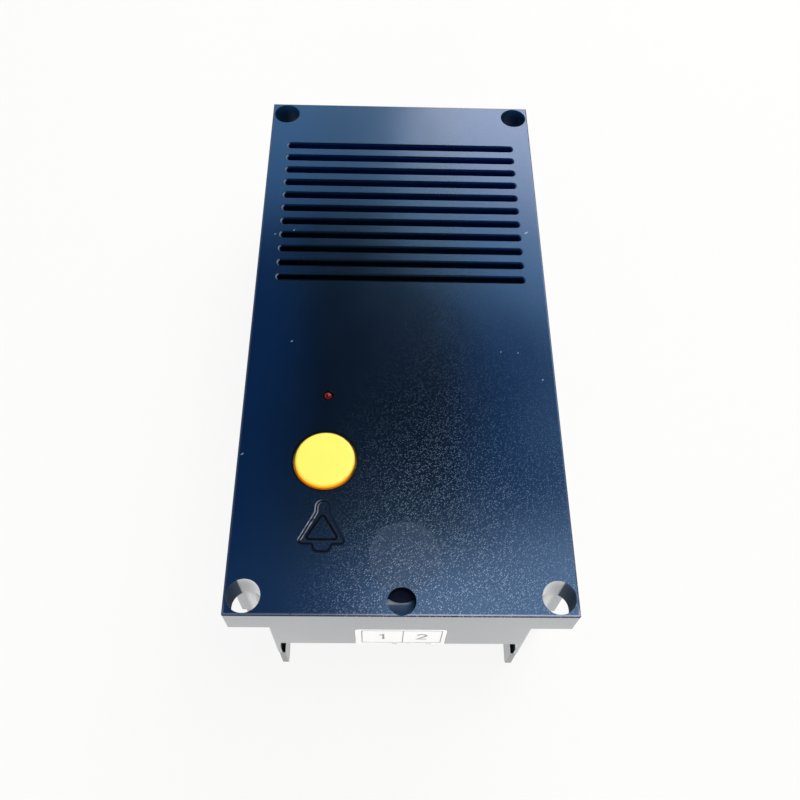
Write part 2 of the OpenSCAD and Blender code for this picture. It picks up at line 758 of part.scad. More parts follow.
module rear_cover() color([0.1, 0.11, 0.16]) {
  entry_y = lower_end + entry_floor_length;
  difference() {
    union() {
      difference() {
        union() {
          cover_block(body_width - 2 * cover_step, 2 * (wide_half - cover_end_step));
          cover_block(end_body_width - 2 * cover_step, panel_height - 2 * cover_step);
        }
        layer(rim_depth - tip, overall_depth - cover_floor)
          body_outline(cover_step + cover_wall, cover_end_step + cover_wall, body_corner_radius / 2);
        layer(rim_depth - tip, overall_depth + tip)
          translate([-end_half, lower_end - tip])
            square([end_body_width, notch_length + cover_end_step + tip]);
        layer(cheek_depth, overall_depth + tip)
          translate([-leg_inner_half, lower_end - tip])
            square([2 * leg_inner_half, entry_floor_length + tip]);
      }
      for (side = [-1, 1]) {
        leg(side);
        for (sy = [-1, 1]) tab(side, sy * tab_y);
      }
      layer(overall_depth - cover_floor, overall_depth)
        translate([-leg_inner_half - tip, entry_y])
          square([2 * (leg_inner_half + tip), notch_length + cover_end_step + tip]);
      at_cover_bosses() bar(0, 0, cover_joint_depth, overall_depth - tip, cover_post_diameter / 2);
    }
    at_cover_bosses() {
      bar(0, 0, cover_joint_depth - tip, overall_depth + tip, free_radius);
      bar(0, 0, cover_seat_depth, overall_depth + tip, well_radius);
    }
  }
}

module cover_screws() color("silver") {
  at_cover_bosses() screw(cover_seat_depth, cover_screw);
}

module marking_label() color("white") {
  r = label_radius;
  translate([label_x, lower_end + label_thickness, level(label_bottom_depth)])
    rotate([90, 0, 0]) linear_extrude(label_thickness)
      translate([0, label_height / 2]) rounded_rect(label_width, label_height, r);
}

// Alarm button and its switch

module alarm_button() color([1, 0.72, 0.08]) {
  r = button_edge_radius;
  top = level(-button_proud);
  skirt = collar_depth + button_collar_thickness;
  difference() {
    turned(button_x, button_y) {
      ring(0, button_radius - r, -button_proud, skirt);
      ring(0, button_radius, r - button_proud, skirt);
      translate([button_radius - r, top - r]) circle(r);
      ring(0, button_radius + button_collar, collar_depth, skirt);
    }
    bar(button_x, button_y, cap_roof_depth, skirt + tip, button_radius - button_wall);
  }
  difference() {
    bar(button_x, button_y, cap_roof_depth - tip, stem_depth, stem_diameter / 2);
    bar(button_x, button_y, stem_depth - plunger_socket, stem_depth + tip,
        plunger_diameter / 2 + plunger_fit_gap);
  }
}

module switch_plunger() color("ivory") {
  bar(button_x, button_y, stem_depth - plunger_socket, plunger_depth, plunger_diameter / 2);
}

module switch_body() color("dimgray") {
  well = plunger_depth + button_travel + plunger_end_gap;
  difference() {
    layer(switch_depth, board_depth)
      translate([button_x, button_y]) rounded_rect(switch_side, switch_side, switch_corner_radius);
    bar(button_x, button_y, switch_depth - tip, well, plunger_diameter / 2 + plunger_slide_gap);
  }
}

// Middle line of the return spring, from its lower to its upper end
spring_bottom = level(switch_depth) + spring_wire / 2 + spring_end_gap;
spring_top = level(cap_roof_depth) - spring_wire / 2 - spring_end_gap;
spring_steps = spring_turns * spring_rings;
function coil_angle(i) = 360 * i / spring_rings;
function coil_point(i) = [spring_radius * cos(coil_angle(i)), spring_radius * sin(coil_angle(i)),
                          spring_bottom + (spring_top - spring_bottom) * i / spring_steps];
function wire_offset(i, j) = let (a = 360 * j / spring_sides, c = spring_wire / 2 * cos(a))
  [c * cos(coil_angle(i)), c * sin(coil_angle(i)), spring_wire / 2 * sin(a)];
spring_gaps = [for (i = [0 : spring_steps - spring_rings])
  norm(coil_point(i + spring_rings) - coil_point(i))];
echo(least_spring_gap = min(spring_gaps) - spring_wire);

module button_spring() color("silver") {
  n = spring_sides;
  points = [for (i = [0 : spring_steps], j = [0 : n - 1]) coil_point(i) + wire_offset(i, j)];
  sides = [for (i = [0 : spring_steps - 1], j = [0 : n - 1], half = [0, 1])
    let (a = i * n + j, b = i * n + (j + 1) % n)
    half == 0 ? [a, b, a + n] : [b, b + n, a + n]];
  last = spring_steps * n;
  ends = [for (j = [1 : n - 2], end = [0, 1])
    end == 0 ? [0, j + 1, j] : [last, last + j, last + j + 1]];
  translate([button_x, button_y, 0]) polyhedron(points, concat(sides, ends));
}

// Indicator lamp

module indicator_lamp() color([0.75, 0.05, 0.05]) {
  r = led_diameter / 2;
  dome_depth = r - led_proud;
  turned(button_x, led_y) {
    ring(0, r, dome_depth, led_base_depth);
    ring(0, r + led_ring, led_base_depth - led_ring_thickness, led_base_depth);
    intersection() {
      translate([0, level(dome_depth)]) circle(r);
      translate([0, level(dome_depth) - tip]) square([r, r + tip]);
    }
  }
  for (sx = [-1, 1])
    bar(button_x + sx * led_lead_pitch / 2, led_y, led_base_depth - tip, board_depth, led_lead / 2);
}

module lamp_spacer() color("white") {
  outer = led_diameter / 2 + led_ring;
  turned(button_x, led_y) ring(outer - led_spacer_wall, outer, led_base_depth, board_depth);
}

// Microphone

module microphone_boot() color([0.12, 0.12, 0.12]) {
  turned(0, pocket_y) {
    ring(boot_opening / 2, boot_radius, boot_roof_depth, capsule_depth);
    ring(capsule_diameter / 2 + boot_gap, boot_radius, boot_roof_depth, pocket_end_depth);
  }
}

module microphone_capsule() color("silver") {
  bar(0, pocket_y, capsule_depth, capsule_end_depth, capsule_diameter / 2);
}

module microphone_leads() color("firebrick") {
  for (sx = [-1, 1])
    bar(sx * microphone_lead_pitch / 2, pocket_y, capsule_end_depth, board_depth, microphone_lead / 2);
}

// Loudspeaker

module acoustic_cloth() color([0.05, 0.05, 0.06]) {
  width = slot_length + 2 * cloth_margin;
  height = slots_span + slot_width + 2 * cloth_margin;
  layer(cloth_depth, cloth_depth + cloth_thickness) difference() {
    translate([0, speaker_y]) square([width, height], center = true);
    at_cover_bosses() circle(boss_radius + cloth_gap);
    at_clamps() circle(boss_radius + cloth_gap);
  }
}

module speaker_gasket() color([0.2, 0.2, 0.2]) {
  turned(0, speaker_y) ring(speaker_radius - gasket_width, speaker_radius, gasket_depth, frame_depth);
}

module speaker_frame() color([0.45, 0.46, 0.48]) {
  floor_end = basket_floor_depth + frame_sheet;
  window_end = rim_rear_depth + window_rim_gap + window_length;
  difference() {
    turned(0, speaker_y)
      polygon([[rim_inner_radius, level(frame_depth)], [speaker_radius, level(frame_depth)],
               [speaker_radius, level(rim_rear_depth)],
               [rim_inner_radius + frame_sheet, level(rim_rear_depth)],
               [basket_floor_radius, level(floor_end)], [plate_bore_radius, level(floor_end)],
               [plate_bore_radius, level(basket_floor_depth)],
               [basket_floor_radius - frame_sheet, level(basket_floor_depth)],
               [rim_inner_radius, level(rim_rear_depth)]]);
    for (i = [0 : basket_windows - 1])
      translate([0, speaker_y, 0]) rotate(360 * (i + 0.5) / basket_windows)
        translate([basket_floor_radius, -window_width / 2, level(window_end)])
          cube([speaker_radius, window_width, window_length]);
  }
}

module speaker_surround() color([0.1, 0.1, 0.1]) {
  front = level(frame_depth);
  turned(0, speaker_y) {
    translate([rim_inner_radius - tip, front])
      square([surround_lip + tip, surround_thickness]);
    translate([cone_edge_radius - surround_lip + surround_thickness, front])
      square([surround_lip, surround_thickness]);
    difference() {
      translate([roll_middle_radius, front + surround_thickness]) intersection() {
        circle(roll_radius + surround_thickness);
        translate([-surround_roll, -surround_roll]) square([2 * surround_roll, surround_roll]);
      }
      translate([roll_middle_radius, front + surround_thickness]) circle(roll_radius);
    }
  }
}

module speaker_cone() color([0.18, 0.17, 0.16]) {
  edge = cone_edge_radius - roll_radius / 2;
  turned(0, speaker_y)
    polygon([[edge, level(frame_depth)], [edge, level(frame_depth) - cone_thickness],
             [cone_neck_radius, level(neck_depth + cone_thickness)], [cone_neck_radius, level(neck_depth)]]);
}

module dust_cap() color([0.12, 0.12, 0.13]) {
  crown = cap_crown_radius;
  drop = sqrt(crown * crown - cone_neck_radius * cone_neck_radius);
  middle = level(neck_depth) - drop + glue_gap;
  turned(0, speaker_y) difference() {
    translate([0, middle]) intersection() {
      circle(crown);
      translate([0, drop]) square([cone_neck_radius, crown]);
    }
    translate([0, middle]) circle(crown - cone_thickness);
  }
}

module voice_coil() color("peru") {
  turned(0, speaker_y) ring(coil_radius, coil_radius + coil_thickness, coil_depth, coil_depth + coil_length);
}

module speaker_spider() color([0.75, 0.6, 0.3]) {
  inner = coil_radius + coil_thickness + glue_gap;
  outer = basket_floor_radius - frame_sheet - spider_gap;
  web_depth = basket_floor_depth - spider_foot;
  ripple_step = (outer - spider_foot - inner) / (ripple_count + 1);
  turned(0, speaker_y) {
    ring(inner, outer, web_depth, web_depth + cone_thickness);
    ring(outer - spider_foot, outer, web_depth, basket_floor_depth);
    for (i = [1 : ripple_count]) {
      r = inner + i * ripple_step;
      ring(r - ripple_width / 2, r + ripple_width / 2, web_depth - ripple_width / 2, web_depth + tip);
    }
  }
}

module top_plate() color("slategray") {
  turned(0, speaker_y) ring(plate_bore_radius, plate_radius, top_plate_depth, magnet_depth);
}

module ring_magnet() color([0.25, 0.25, 0.27]) {
  turned(0, speaker_y) ring(magnet_bore_radius, magnet_radius, magnet_depth, yoke_depth);
}

module pole_yoke() color("slategray") {
  turned(0, speaker_y) {
    ring(0, plate_radius, yoke_depth, yoke_depth + pole_plate);
    ring(0, pole_radius, top_plate_depth, yoke_depth + tip);
  }
}

module speaker_tags() color("saddlebrown") {
  layer(rim_rear_depth, rim_rear_depth + tag_strip_thickness)
    translate([0, tag_y]) square([tag_strip_width, tag_strip_height], center = true);
}

module speaker_clamps() color("silver") {
  length = boss_diameter + clamp_clearance + clamp_reach;
  for (sx = [-1, 1], sy = [-1, 1])
    translate([sx * clamp_x, speaker_y + sy * clamp_dy, 0])
      rotate(atan2(-sy * clamp_dy, -sx * clamp_x)) layer(rim_rear_depth, rim_rear_depth + clamp_thickness)
        difference() {
          translate([-boss_radius, -clamp_width / 2]) square([length, clamp_width]);
          circle(free_radius);
        }
}

module clamp_screws() color("silver") {
  at_clamps() screw(rim_rear_depth + clamp_thickness, clamp_screw);
}

// Two leads from the speaker's tags to the header on the board
module speaker_leads() color("crimson") {
  r = speaker_lead / 2;
  end_y = header_y + header_length / 2;
  for (sx = [-1, 1]) translate([sx * speaker_lead_pitch / 2, 0, 0]) {
    bar(0, tag_y, rim_rear_depth + tag_strip_thickness, lead_depth, r);
    translate([0, tag_y, level(lead_depth)]) sphere(r);
    translate([0, tag_y, level(lead_depth)]) rotate([90, 0, 0]) cylinder(h = tag_y - end_y, r = r);
  }
}

// Circuit board and what stands on it

module circuit_board() color([0.05, 0.35, 0.16]) {
  difference() {
    layer(board_depth, board_rear_depth) {
      translate([-board_width / 2, board_step_y]) square([board_width, board_top - board_step_y]);
      translate([-board_end_width / 2, board_bottom])
        square([board_end_width, board_step_y - board_bottom + tip]);
    }
    at_board_posts() bar(0, 0, board_depth - tip, board_rear_depth + tip, free_radius);
  }
}

module board_screws() color("silver") {
  at_board_posts() screw(board_rear_depth, short_screw);
}

// One two-pole terminal block on the rear of the board, with its openings towards the cable entry
module terminal(x) {
  end_depth = board_rear_depth + terminal_height;
  well_depth = terminal_screw_height + terminal_well;
  opening_depth = board_rear_depth + wire_opening_lift + wire_opening;
  difference() {
    union() {
      layer(board_rear_depth, end_depth)
        translate([x - terminal_width / 2, terminal_front]) square([terminal_width, terminal_length]);
      layer(board_rear_depth + terminal_height / 2, end_depth)
        translate([x + terminal_width / 2 - lug_width, terminal_front - lug_reach])
          square([lug_width, lug_reach + tip]);
    }
    for (sx = [-1, 1]) translate([x + sx * terminal_pole, 0, 0]) {
      translate([-wire_opening / 2, terminal_front - lug_reach - tip, level(opening_depth)])
        cube([wire_opening, wire_opening_depth + lug_reach + tip, wire_opening]);
      bar(0, terminal_middle, end_depth - well_depth, end_depth + tip,
          terminal_screw_diameter / 2 + terminal_screw_gap);
    }
  }
}

module terminal_left() color([0.15, 0.6, 0.25]) {
  terminal(terminal_x - terminal_step);
}

module terminal_right() color([0.15, 0.6, 0.25]) {
  terminal(terminal_x + terminal_step);
}

module terminal_screws() color("gainsboro") {
  seat = board_rear_depth + terminal_height - terminal_well - terminal_screw_height;
  for (block = [-1, 1], pole = [-1, 1])
    translate([terminal_x + block * terminal_step + pole * terminal_pole, terminal_middle, 0]) difference() {
      bar(0, 0, seat, seat + terminal_screw_height, terminal_screw_diameter / 2);
      translate([0, 0, level(seat + terminal_screw_height)])
        cube([terminal_screw_diameter + tip, terminal_slot_width, 2 * terminal_slot_depth], center = true);
    }
}

module speaker_header() color("ivory") {
  layer(header_depth, board_depth)
    translate([-header_width / 2, header_y - header_length / 2]) square([header_width, header_length]);
}

// A chip on the rear of the board with a row of bent pins on two sides
module chip(x, y, length, width) {
  count = floor((length - pin_pitch) / pin_pitch);
  body_depth = board_rear_depth + chip_standoff;
  pin_depth = body_depth + chip_thickness / 2;
  layer(body_depth, body_depth + chip_thickness) translate([x, y]) square([length, width], center = true);
  for (side = [-1, 1], i = [0 : count - 1]) {
    along = x + (i - (count - 1) / 2) * pin_pitch;
    layer(body_depth, pin_depth)
      translate([along, y + side * (width + pin_reach - tip) / 2])
        square([pin_width, pin_reach + tip], center = true);
    layer(board_rear_depth, pin_depth)
      translate([along, y + side * (width / 2 + pin_reach - pin_width / 2)])
        square([pin_width, pin_width], center = true);
  }
}

module controller_chip() color([0.1, 0.1, 0.1]) {
  chip(controller_x, controller_y, chip_side, chip_side);
}

module amplifier_chip() color([0.12, 0.12, 0.12]) {
  chip(amplifier_x, upper_post_y - amplifier_drop, amplifier_length, amplifier_width);
}

module filter_capacitors() color("midnightblue") {
  for (i = [0 : capacitor_count - 1])
    bar(capacitor_x + i * capacitor_pitch, capacitor_y, board_rear_depth,
        board_rear_depth + capacitor_height, capacitor_diameter / 2);
}

// Iron core with the winding round its middle limb
module line_transformer() color([0.55, 0.5, 0.4]) {
  end_depth = board_rear_depth + transformer_height;
  inner_length = transformer_length - 2 * core_limb;
  window = (transformer_width - 3 * core_limb) / 2;
  translate([transformer_x, transformer_y, 0]) {
    layer(board_rear_depth + core_lift, end_depth - core_lift) difference() {
      square([transformer_width, transformer_length], center = true);
      for (sx = [-1, 1])
        translate([sx * (core_limb + window) / 2, 0]) square([window, inner_length], center = true);
    }
    layer(board_rear_depth, end_depth)
      square([core_limb + 2 * window, inner_length], center = true);
  }
}

front_housing();
rear_cover();
cover_screws();
marking_label();
alarm_button();
switch_plunger();
button_spring();
switch_body();
indicator_lamp();
lamp_spacer();
microphone_boot();
microphone_capsule();
microphone_leads();
acoustic_cloth();
speaker_gasket();
speaker_frame();
speaker_surround();
speaker_cone();
dust_cap();
voice_coil();
speaker_spider();
top_plate();
ring_magnet();
pole_yoke();
speaker_tags();
speaker_clamps();
clamp_screws();
speaker_leads();
circuit_board();
board_screws();
terminal_left();
terminal_right();
terminal_screws();
speaker_header();
controller_chip();
amplifier_chip();
filter_capacitors();
line_transformer();
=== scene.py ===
import json
import math
import bmesh
import bpy
from mathutils import Matrix, Vector


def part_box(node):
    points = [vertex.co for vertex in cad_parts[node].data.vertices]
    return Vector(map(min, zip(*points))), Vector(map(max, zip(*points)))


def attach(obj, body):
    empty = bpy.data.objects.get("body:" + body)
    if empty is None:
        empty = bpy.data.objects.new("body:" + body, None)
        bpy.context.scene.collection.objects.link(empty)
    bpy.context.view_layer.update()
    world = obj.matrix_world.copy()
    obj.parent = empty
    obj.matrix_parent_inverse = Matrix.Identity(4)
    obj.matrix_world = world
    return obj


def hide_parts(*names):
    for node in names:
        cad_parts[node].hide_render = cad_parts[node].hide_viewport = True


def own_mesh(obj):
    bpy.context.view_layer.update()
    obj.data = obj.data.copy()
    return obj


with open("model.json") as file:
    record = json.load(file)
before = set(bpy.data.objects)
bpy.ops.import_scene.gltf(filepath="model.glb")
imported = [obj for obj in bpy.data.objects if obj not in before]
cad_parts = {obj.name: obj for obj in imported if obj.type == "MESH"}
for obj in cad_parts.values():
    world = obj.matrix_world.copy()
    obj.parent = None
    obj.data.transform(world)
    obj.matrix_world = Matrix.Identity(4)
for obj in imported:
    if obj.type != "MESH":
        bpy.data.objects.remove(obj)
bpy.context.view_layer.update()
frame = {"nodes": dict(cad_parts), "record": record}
nodes = frame["nodes"]
mm = 0.001

# places that the dressing hangs on, all read from the solids
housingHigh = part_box("front_housing")[1]
faceZ = housingHigh.z
labelLow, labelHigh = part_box("marking_label")


# shader wiring

class Wire:
    # one output socket; sums on it add Math nodes
    def __init__(self, finish, socket):
        self.finish = finish
        self.socket = socket

    def __add__(self, other):
        return self.finish.maths("ADD", self, other)

    def __radd__(self, other):
        return self.finish.maths("ADD", other, self)

    def __sub__(self, other):
        return self.finish.maths("SUBTRACT", self, other)

    def __rsub__(self, other):
        return self.finish.maths("SUBTRACT", other, self)

    def __mul__(self, other):
        return self.finish.maths("MULTIPLY", self, other)

    def __rmul__(self, other):
        return self.finish.maths("MULTIPLY", other, self)

    def __truediv__(self, other):
        return self.finish.maths("DIVIDE", self, other)

    def __rtruediv__(self, other):
        return self.finish.maths("DIVIDE", other, self)

    def __pow__(self, other):
        return self.finish.maths("POWER", self, other)


class Finish:
    # one material; every node comes through node()
    def __init__(self, name):
        self.material = bpy.data.materials.new(name)
        self.material.use_nodes = True
        self.tree = self.material.node_tree
        self.tree.nodes.clear()

    def node(self, kind, settings, sockets, output=0):
        made = self.tree.nodes.new("ShaderNode" + kind)
        for key, value in settings.items():
            setattr(made, key, value)
        for key, value in sockets.items():
            if isinstance(value, Wire):
                self.tree.links.new(value.socket, made.inputs[key])
            else:
                made.inputs[key].default_value = value
        if made.outputs:
            return Wire(self, made.outputs[output])

    def maths(self, operation, first, second):
        return self.node("Math", {"operation": operation}, {0: first, 1: second})

    def least(self, first, second):
        return self.maths("MINIMUM", first, second)

    def most(self, first, second):
        return self.maths("MAXIMUM", first, second)

    def far(self, value, place):
        return self.node("Math", {"operation": "ABSOLUTE"}, {0: value - place})

    def mix(self, factor, first, second):
        return self.node("Mix", {"data_type": "RGBA"}, {0: factor, 6: first, 7: second}, 2)

    def place(self, scale):
        # position on the part, in millimetres times scale
        spot = self.node("TexCoord", {}, {}, "Object")
        return self.node("VectorMath", {"operation": "SCALE"}, {0: spot, "Scale": 1000 * scale})

    def noise(self, size, detail=2.0, roughness=0.5, stretch=None):
        # cloudy noise with features of about size millimetres
        spot = self.place(1 / size)
        if stretch:
            spot = self.node("VectorMath", {"operation": "MULTIPLY"}, {0: spot, 1: stretch})
        return self.node("TexNoise", {}, {"Vector": spot, "Scale": 1.0, "Detail": detail,
                                          "Roughness": roughness}, "Fac")

    def cells(self, size):
        return self.node("TexVoronoi", {}, {"Vector": self.place(1 / size), "Scale": 1.0}, "Distance")

    def pebbles(self, size, slant, stretch):
        # moulded dots on a face: distance from a dot's middle, and a shade of its own for each dot
        spot = self.node("VectorRotate", {"rotation_type": "Z_AXIS"},
                         {"Vector": self.place(1 / size), "Angle": -slant})
        spot = self.node("VectorMath", {"operation": "MULTIPLY"}, {0: spot, 1: stretch})
        flat, sockets = {"voronoi_dimensions": "2D"}, {"Vector": spot, "Scale": 1.0}
        distance = self.node("TexVoronoi", flat, sockets, "Distance")
        own = self.node("TexVoronoi", flat, sockets, "Color")
        return distance, self.node("SeparateColor", {}, {0: own}, "Red")

    def axis(self, name):
        return self.node("SeparateXYZ", {}, {0: self.node("TexCoord", {}, {}, "Object")}, name)

    def millimetres(self):
        # place across and along the part
        return self.axis("X") * 1000, self.axis("Y") * 1000

    def ridges(self, name, pitch):
        # even waves along an axis, a pitch of so many millimetres
        return self.node("Math", {"operation": "SINE"}, {0: self.axis(name) * (2 * math.pi * 1000 / pitch)})

    def facing(self, name):
        return self.node("SeparateXYZ", {}, {0: self.node("NewGeometry", {}, {}, "Normal")}, name)

    def step(self, value, low, high):
        return self.node("MapRange", {"interpolation_type": "SMOOTHSTEP"},
                         {"Value": value, "From Min": low, "From Max": high})

    def fade(self, value, low, high):
        return 1 - self.step(value, low, high)

    def bump(self, height, depth, strength=1.0):
        return self.node("Bump", {}, {"Height": height, "Distance": depth, "Strength": strength})

    def surface(self, sockets):
        shader = self.node("BsdfPrincipled", {}, sockets)
        self.node("OutputMaterial", {}, {"Surface": shader})
        return self.material


def rgb(r, g, b):
    return (r, g, b, 1.0)


# camera: above the lower edge, looking down at the face
cameraSetup = {
    "place": (-0.00688, -0.16575, 0.22983),  # from the middle of the face
    "forward": (0.02426, 0.50257, -0.86420),
    "up": (-0.01207, 0.86454, 0.50243),
    "focal": 38.475,
    "sensor": 36.0,
    "clip": (0.005, 50),
}


def makeCamera(setup):
    data = bpy.data.cameras.new("camera")
    data.lens = setup["focal"]
    data.sensor_width = setup["sensor"]
    data.clip_start, data.clip_end = setup["clip"]
    camera = bpy.data.objects.new("camera", data)
    bpy.context.scene.collection.objects.link(camera)
    forward = Vector(setup["forward"]).normalized()
    right = forward.cross(Vector(setup["up"])).normalized()
    turn = Matrix((right, right.cross(forward), -forward)).transposed()
    place = Vector(setup["place"]) + Vector((0, 0, faceZ))
    camera.matrix_world = Matrix.Translation(place) @ turn.to_4x4()
    bpy.context.scene.camera = camera


makeCamera(cameraSetup)
bpy.context.scene.view_settings.view_transform = "Standard"
print("camera set")


# mesh helpers

def addMesh(name, mesh, material, body):
    piece = bpy.data.objects.new(name, mesh)
    bpy.context.scene.collection.objects.link(piece)
    mesh.materials.clear()
    mesh.materials.append(material)
    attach(piece, body)
    return piece


def meshOf(name, form, angle=None):
    # mesh of a finished form, smooth over edges up to angle
    mesh = bpy.data.meshes.new(name)
    form.to_mesh(mesh)
    form.free()
    if angle:
        for face in mesh.polygons:
            face.use_smooth = True
        mesh.set_sharp_from_angle(angle=math.radians(angle))
    return mesh


def lathe(name, profile, segments=96):
    # turns radius-height points about Z; a closed profile gives a ring
    form = bmesh.new()
    rings = []
    for i in range(segments):
        angle = 2 * math.pi * i / segments
        rings.append([form.verts.new((r * math.cos(angle), r * math.sin(angle), z)) for r, z in profile])
    for i in range(segments):
        near, far = rings[i], rings[(i + 1) % segments]
        for j in range(len(profile) - 1):
            form.faces.new((near[j], far[j], far[j + 1], near[j + 1]))
    bmesh.ops.remove_doubles(form, verts=form.verts, dist=1e-7)
    return meshOf(name, form, 35)


# studio
studio = {
    "floorRadius": 1.6,
    "bend": 0.6,
    "bendSteps": 12,
    "wallTop": 1.7,
    "paper": rgb(0.80, 0.80, 0.79),
    "white": rgb(1, 1, 0.995),
    "floorGlow": 0.90,  # share of the floor's white that the lamps don't shade
    "sky": rgb(0.035, 0.042, 0.055),
}
lamps = [
    {"name": "windowBox", "turn": 31.2, "lift": 37.7, "away": 1.15, "size": (0.95, 0.30), "glow": 9.5,
     "colour": (1.0, 0.84, 0.82)},
    {"name": "windowTop", "turn": 30, "lift": 49.0, "away": 1.15, "size": (0.82, 0.12), "glow": 4.2,
     "colour": (0.60, 0.85, 1.0)},
    {"name": "skyBox", "turn": -8, "lift": 37.7, "away": 1.15, "size": (0.34, 0.30), "glow": 2.7,
     "colour": (0.45, 0.74, 1.0)},
    {"name": "overheadBox", "turn": 80, "lift": 75, "away": 1.0, "size": (0.5, 0.5), "glow": 5.3,
     "colour": (1.0, 0.89, 0.85)},
    {"name": "topFill", "turn": -30, "lift": 84.5, "away": 1.0, "size": (0.5, 0.5), "glow": 0.45,
     "colour": (0.75, 0.90, 1.0)},
    {"name": "sideBox", "turn": 50, "lift": 52, "away": 1.1, "size": (0.5, 0.5), "glow": 1.5,
     "colour": (0.80, 0.92, 1.0)},
    {"name": "frontFill", "turn": 188, "lift": 12, "away": 1.3, "size": (1.0, 0.6), "glow": 5.6,
     "colour": (1.0, 1.0, 1.0), "mirrored": False},
    {"name": "leftFill", "turn": -98, "lift": 7, "away": 1.3, "size": (0.9, 0.5), "glow": 2.2,
     "colour": (0.97, 0.99, 1.0), "mirrored": False},
]


def sweepFinish():
    finish = Finish("studioSweep")
    seen = finish.node("LightPath", {}, {}, "Is Camera Ray")
    mirrored = finish.node("LightPath", {}, {}, "Is Glossy Ray")
    through = finish.node("LightPath", {}, {}, "Is Transmission Ray")
    paper = finish.node("BsdfDiffuse", {}, {"Color": studio["paper"]})
    white = finish.node("Emission", {}, {"Color": studio["white"], "Strength": 1.0})
    share = finish.most(seen, finish.most(mirrored, through)) * studio["floorGlow"]
    shader = finish.node("MixShader", {}, {0: share, 1: paper, 2: white})
    finish.node("OutputMaterial", {}, {"Surface": shader})
    return finish.material


def makeStudio():
    flat, bend = studio["floorRadius"], studio["bend"]
    profile = [(0, 0), (flat, 0)]
    steps = studio["bendSteps"]
    for i in range(1, steps + 1):
        angle = math.pi / 2 * i / steps
        profile.append((flat + bend * math.sin(angle), bend * (1 - math.cos(angle))))
    profile.append((flat + bend, studio["wallTop"]))
    mesh = lathe("studioSweep", profile)
    mesh.materials.append(sweepFinish())
    sweep = bpy.data.objects.new("studioSweep", mesh)
    bpy.context.scene.collection.objects.link(sweep)
    world = bpy.data.worlds.new("studio")
    world.use_nodes = True
    world.node_tree.nodes["Background"].inputs["Color"].default_value = studio["sky"]
    bpy.context.scene.world = world


def makeLamp(lamp):
    width, height = lamp["size"]
    data = bpy.data.lights.new(lamp["name"], "AREA")
    data.shape = "RECTANGLE"
    data.size = width
    data.size_y = height
    data.energy = lamp["glow"] * math.pi * width * height
    data.color = lamp["colour"]
    turn, lift = math.radians(lamp["turn"]), math.radians(lamp["lift"])
    toward = Vector((math.sin(turn) * math.cos(lift), math.cos(turn) * math.cos(lift), math.sin(lift)))
    box = bpy.data.objects.new(lamp["name"], data)
    bpy.context.scene.collection.objects.link(box)
    box.location = Vector((0, 0, faceZ)) + toward * lamp["away"]
    box.rotation_euler = (-toward).to_track_quat("-Z", "Y").to_euler()
    box.visible_camera = False
    box.visible_glossy = lamp.get("mirrored", True)


makeStudio()
for lamp in lamps:
    makeLamp(lamp)
print("studio lit by", len(lamps), "boxes")


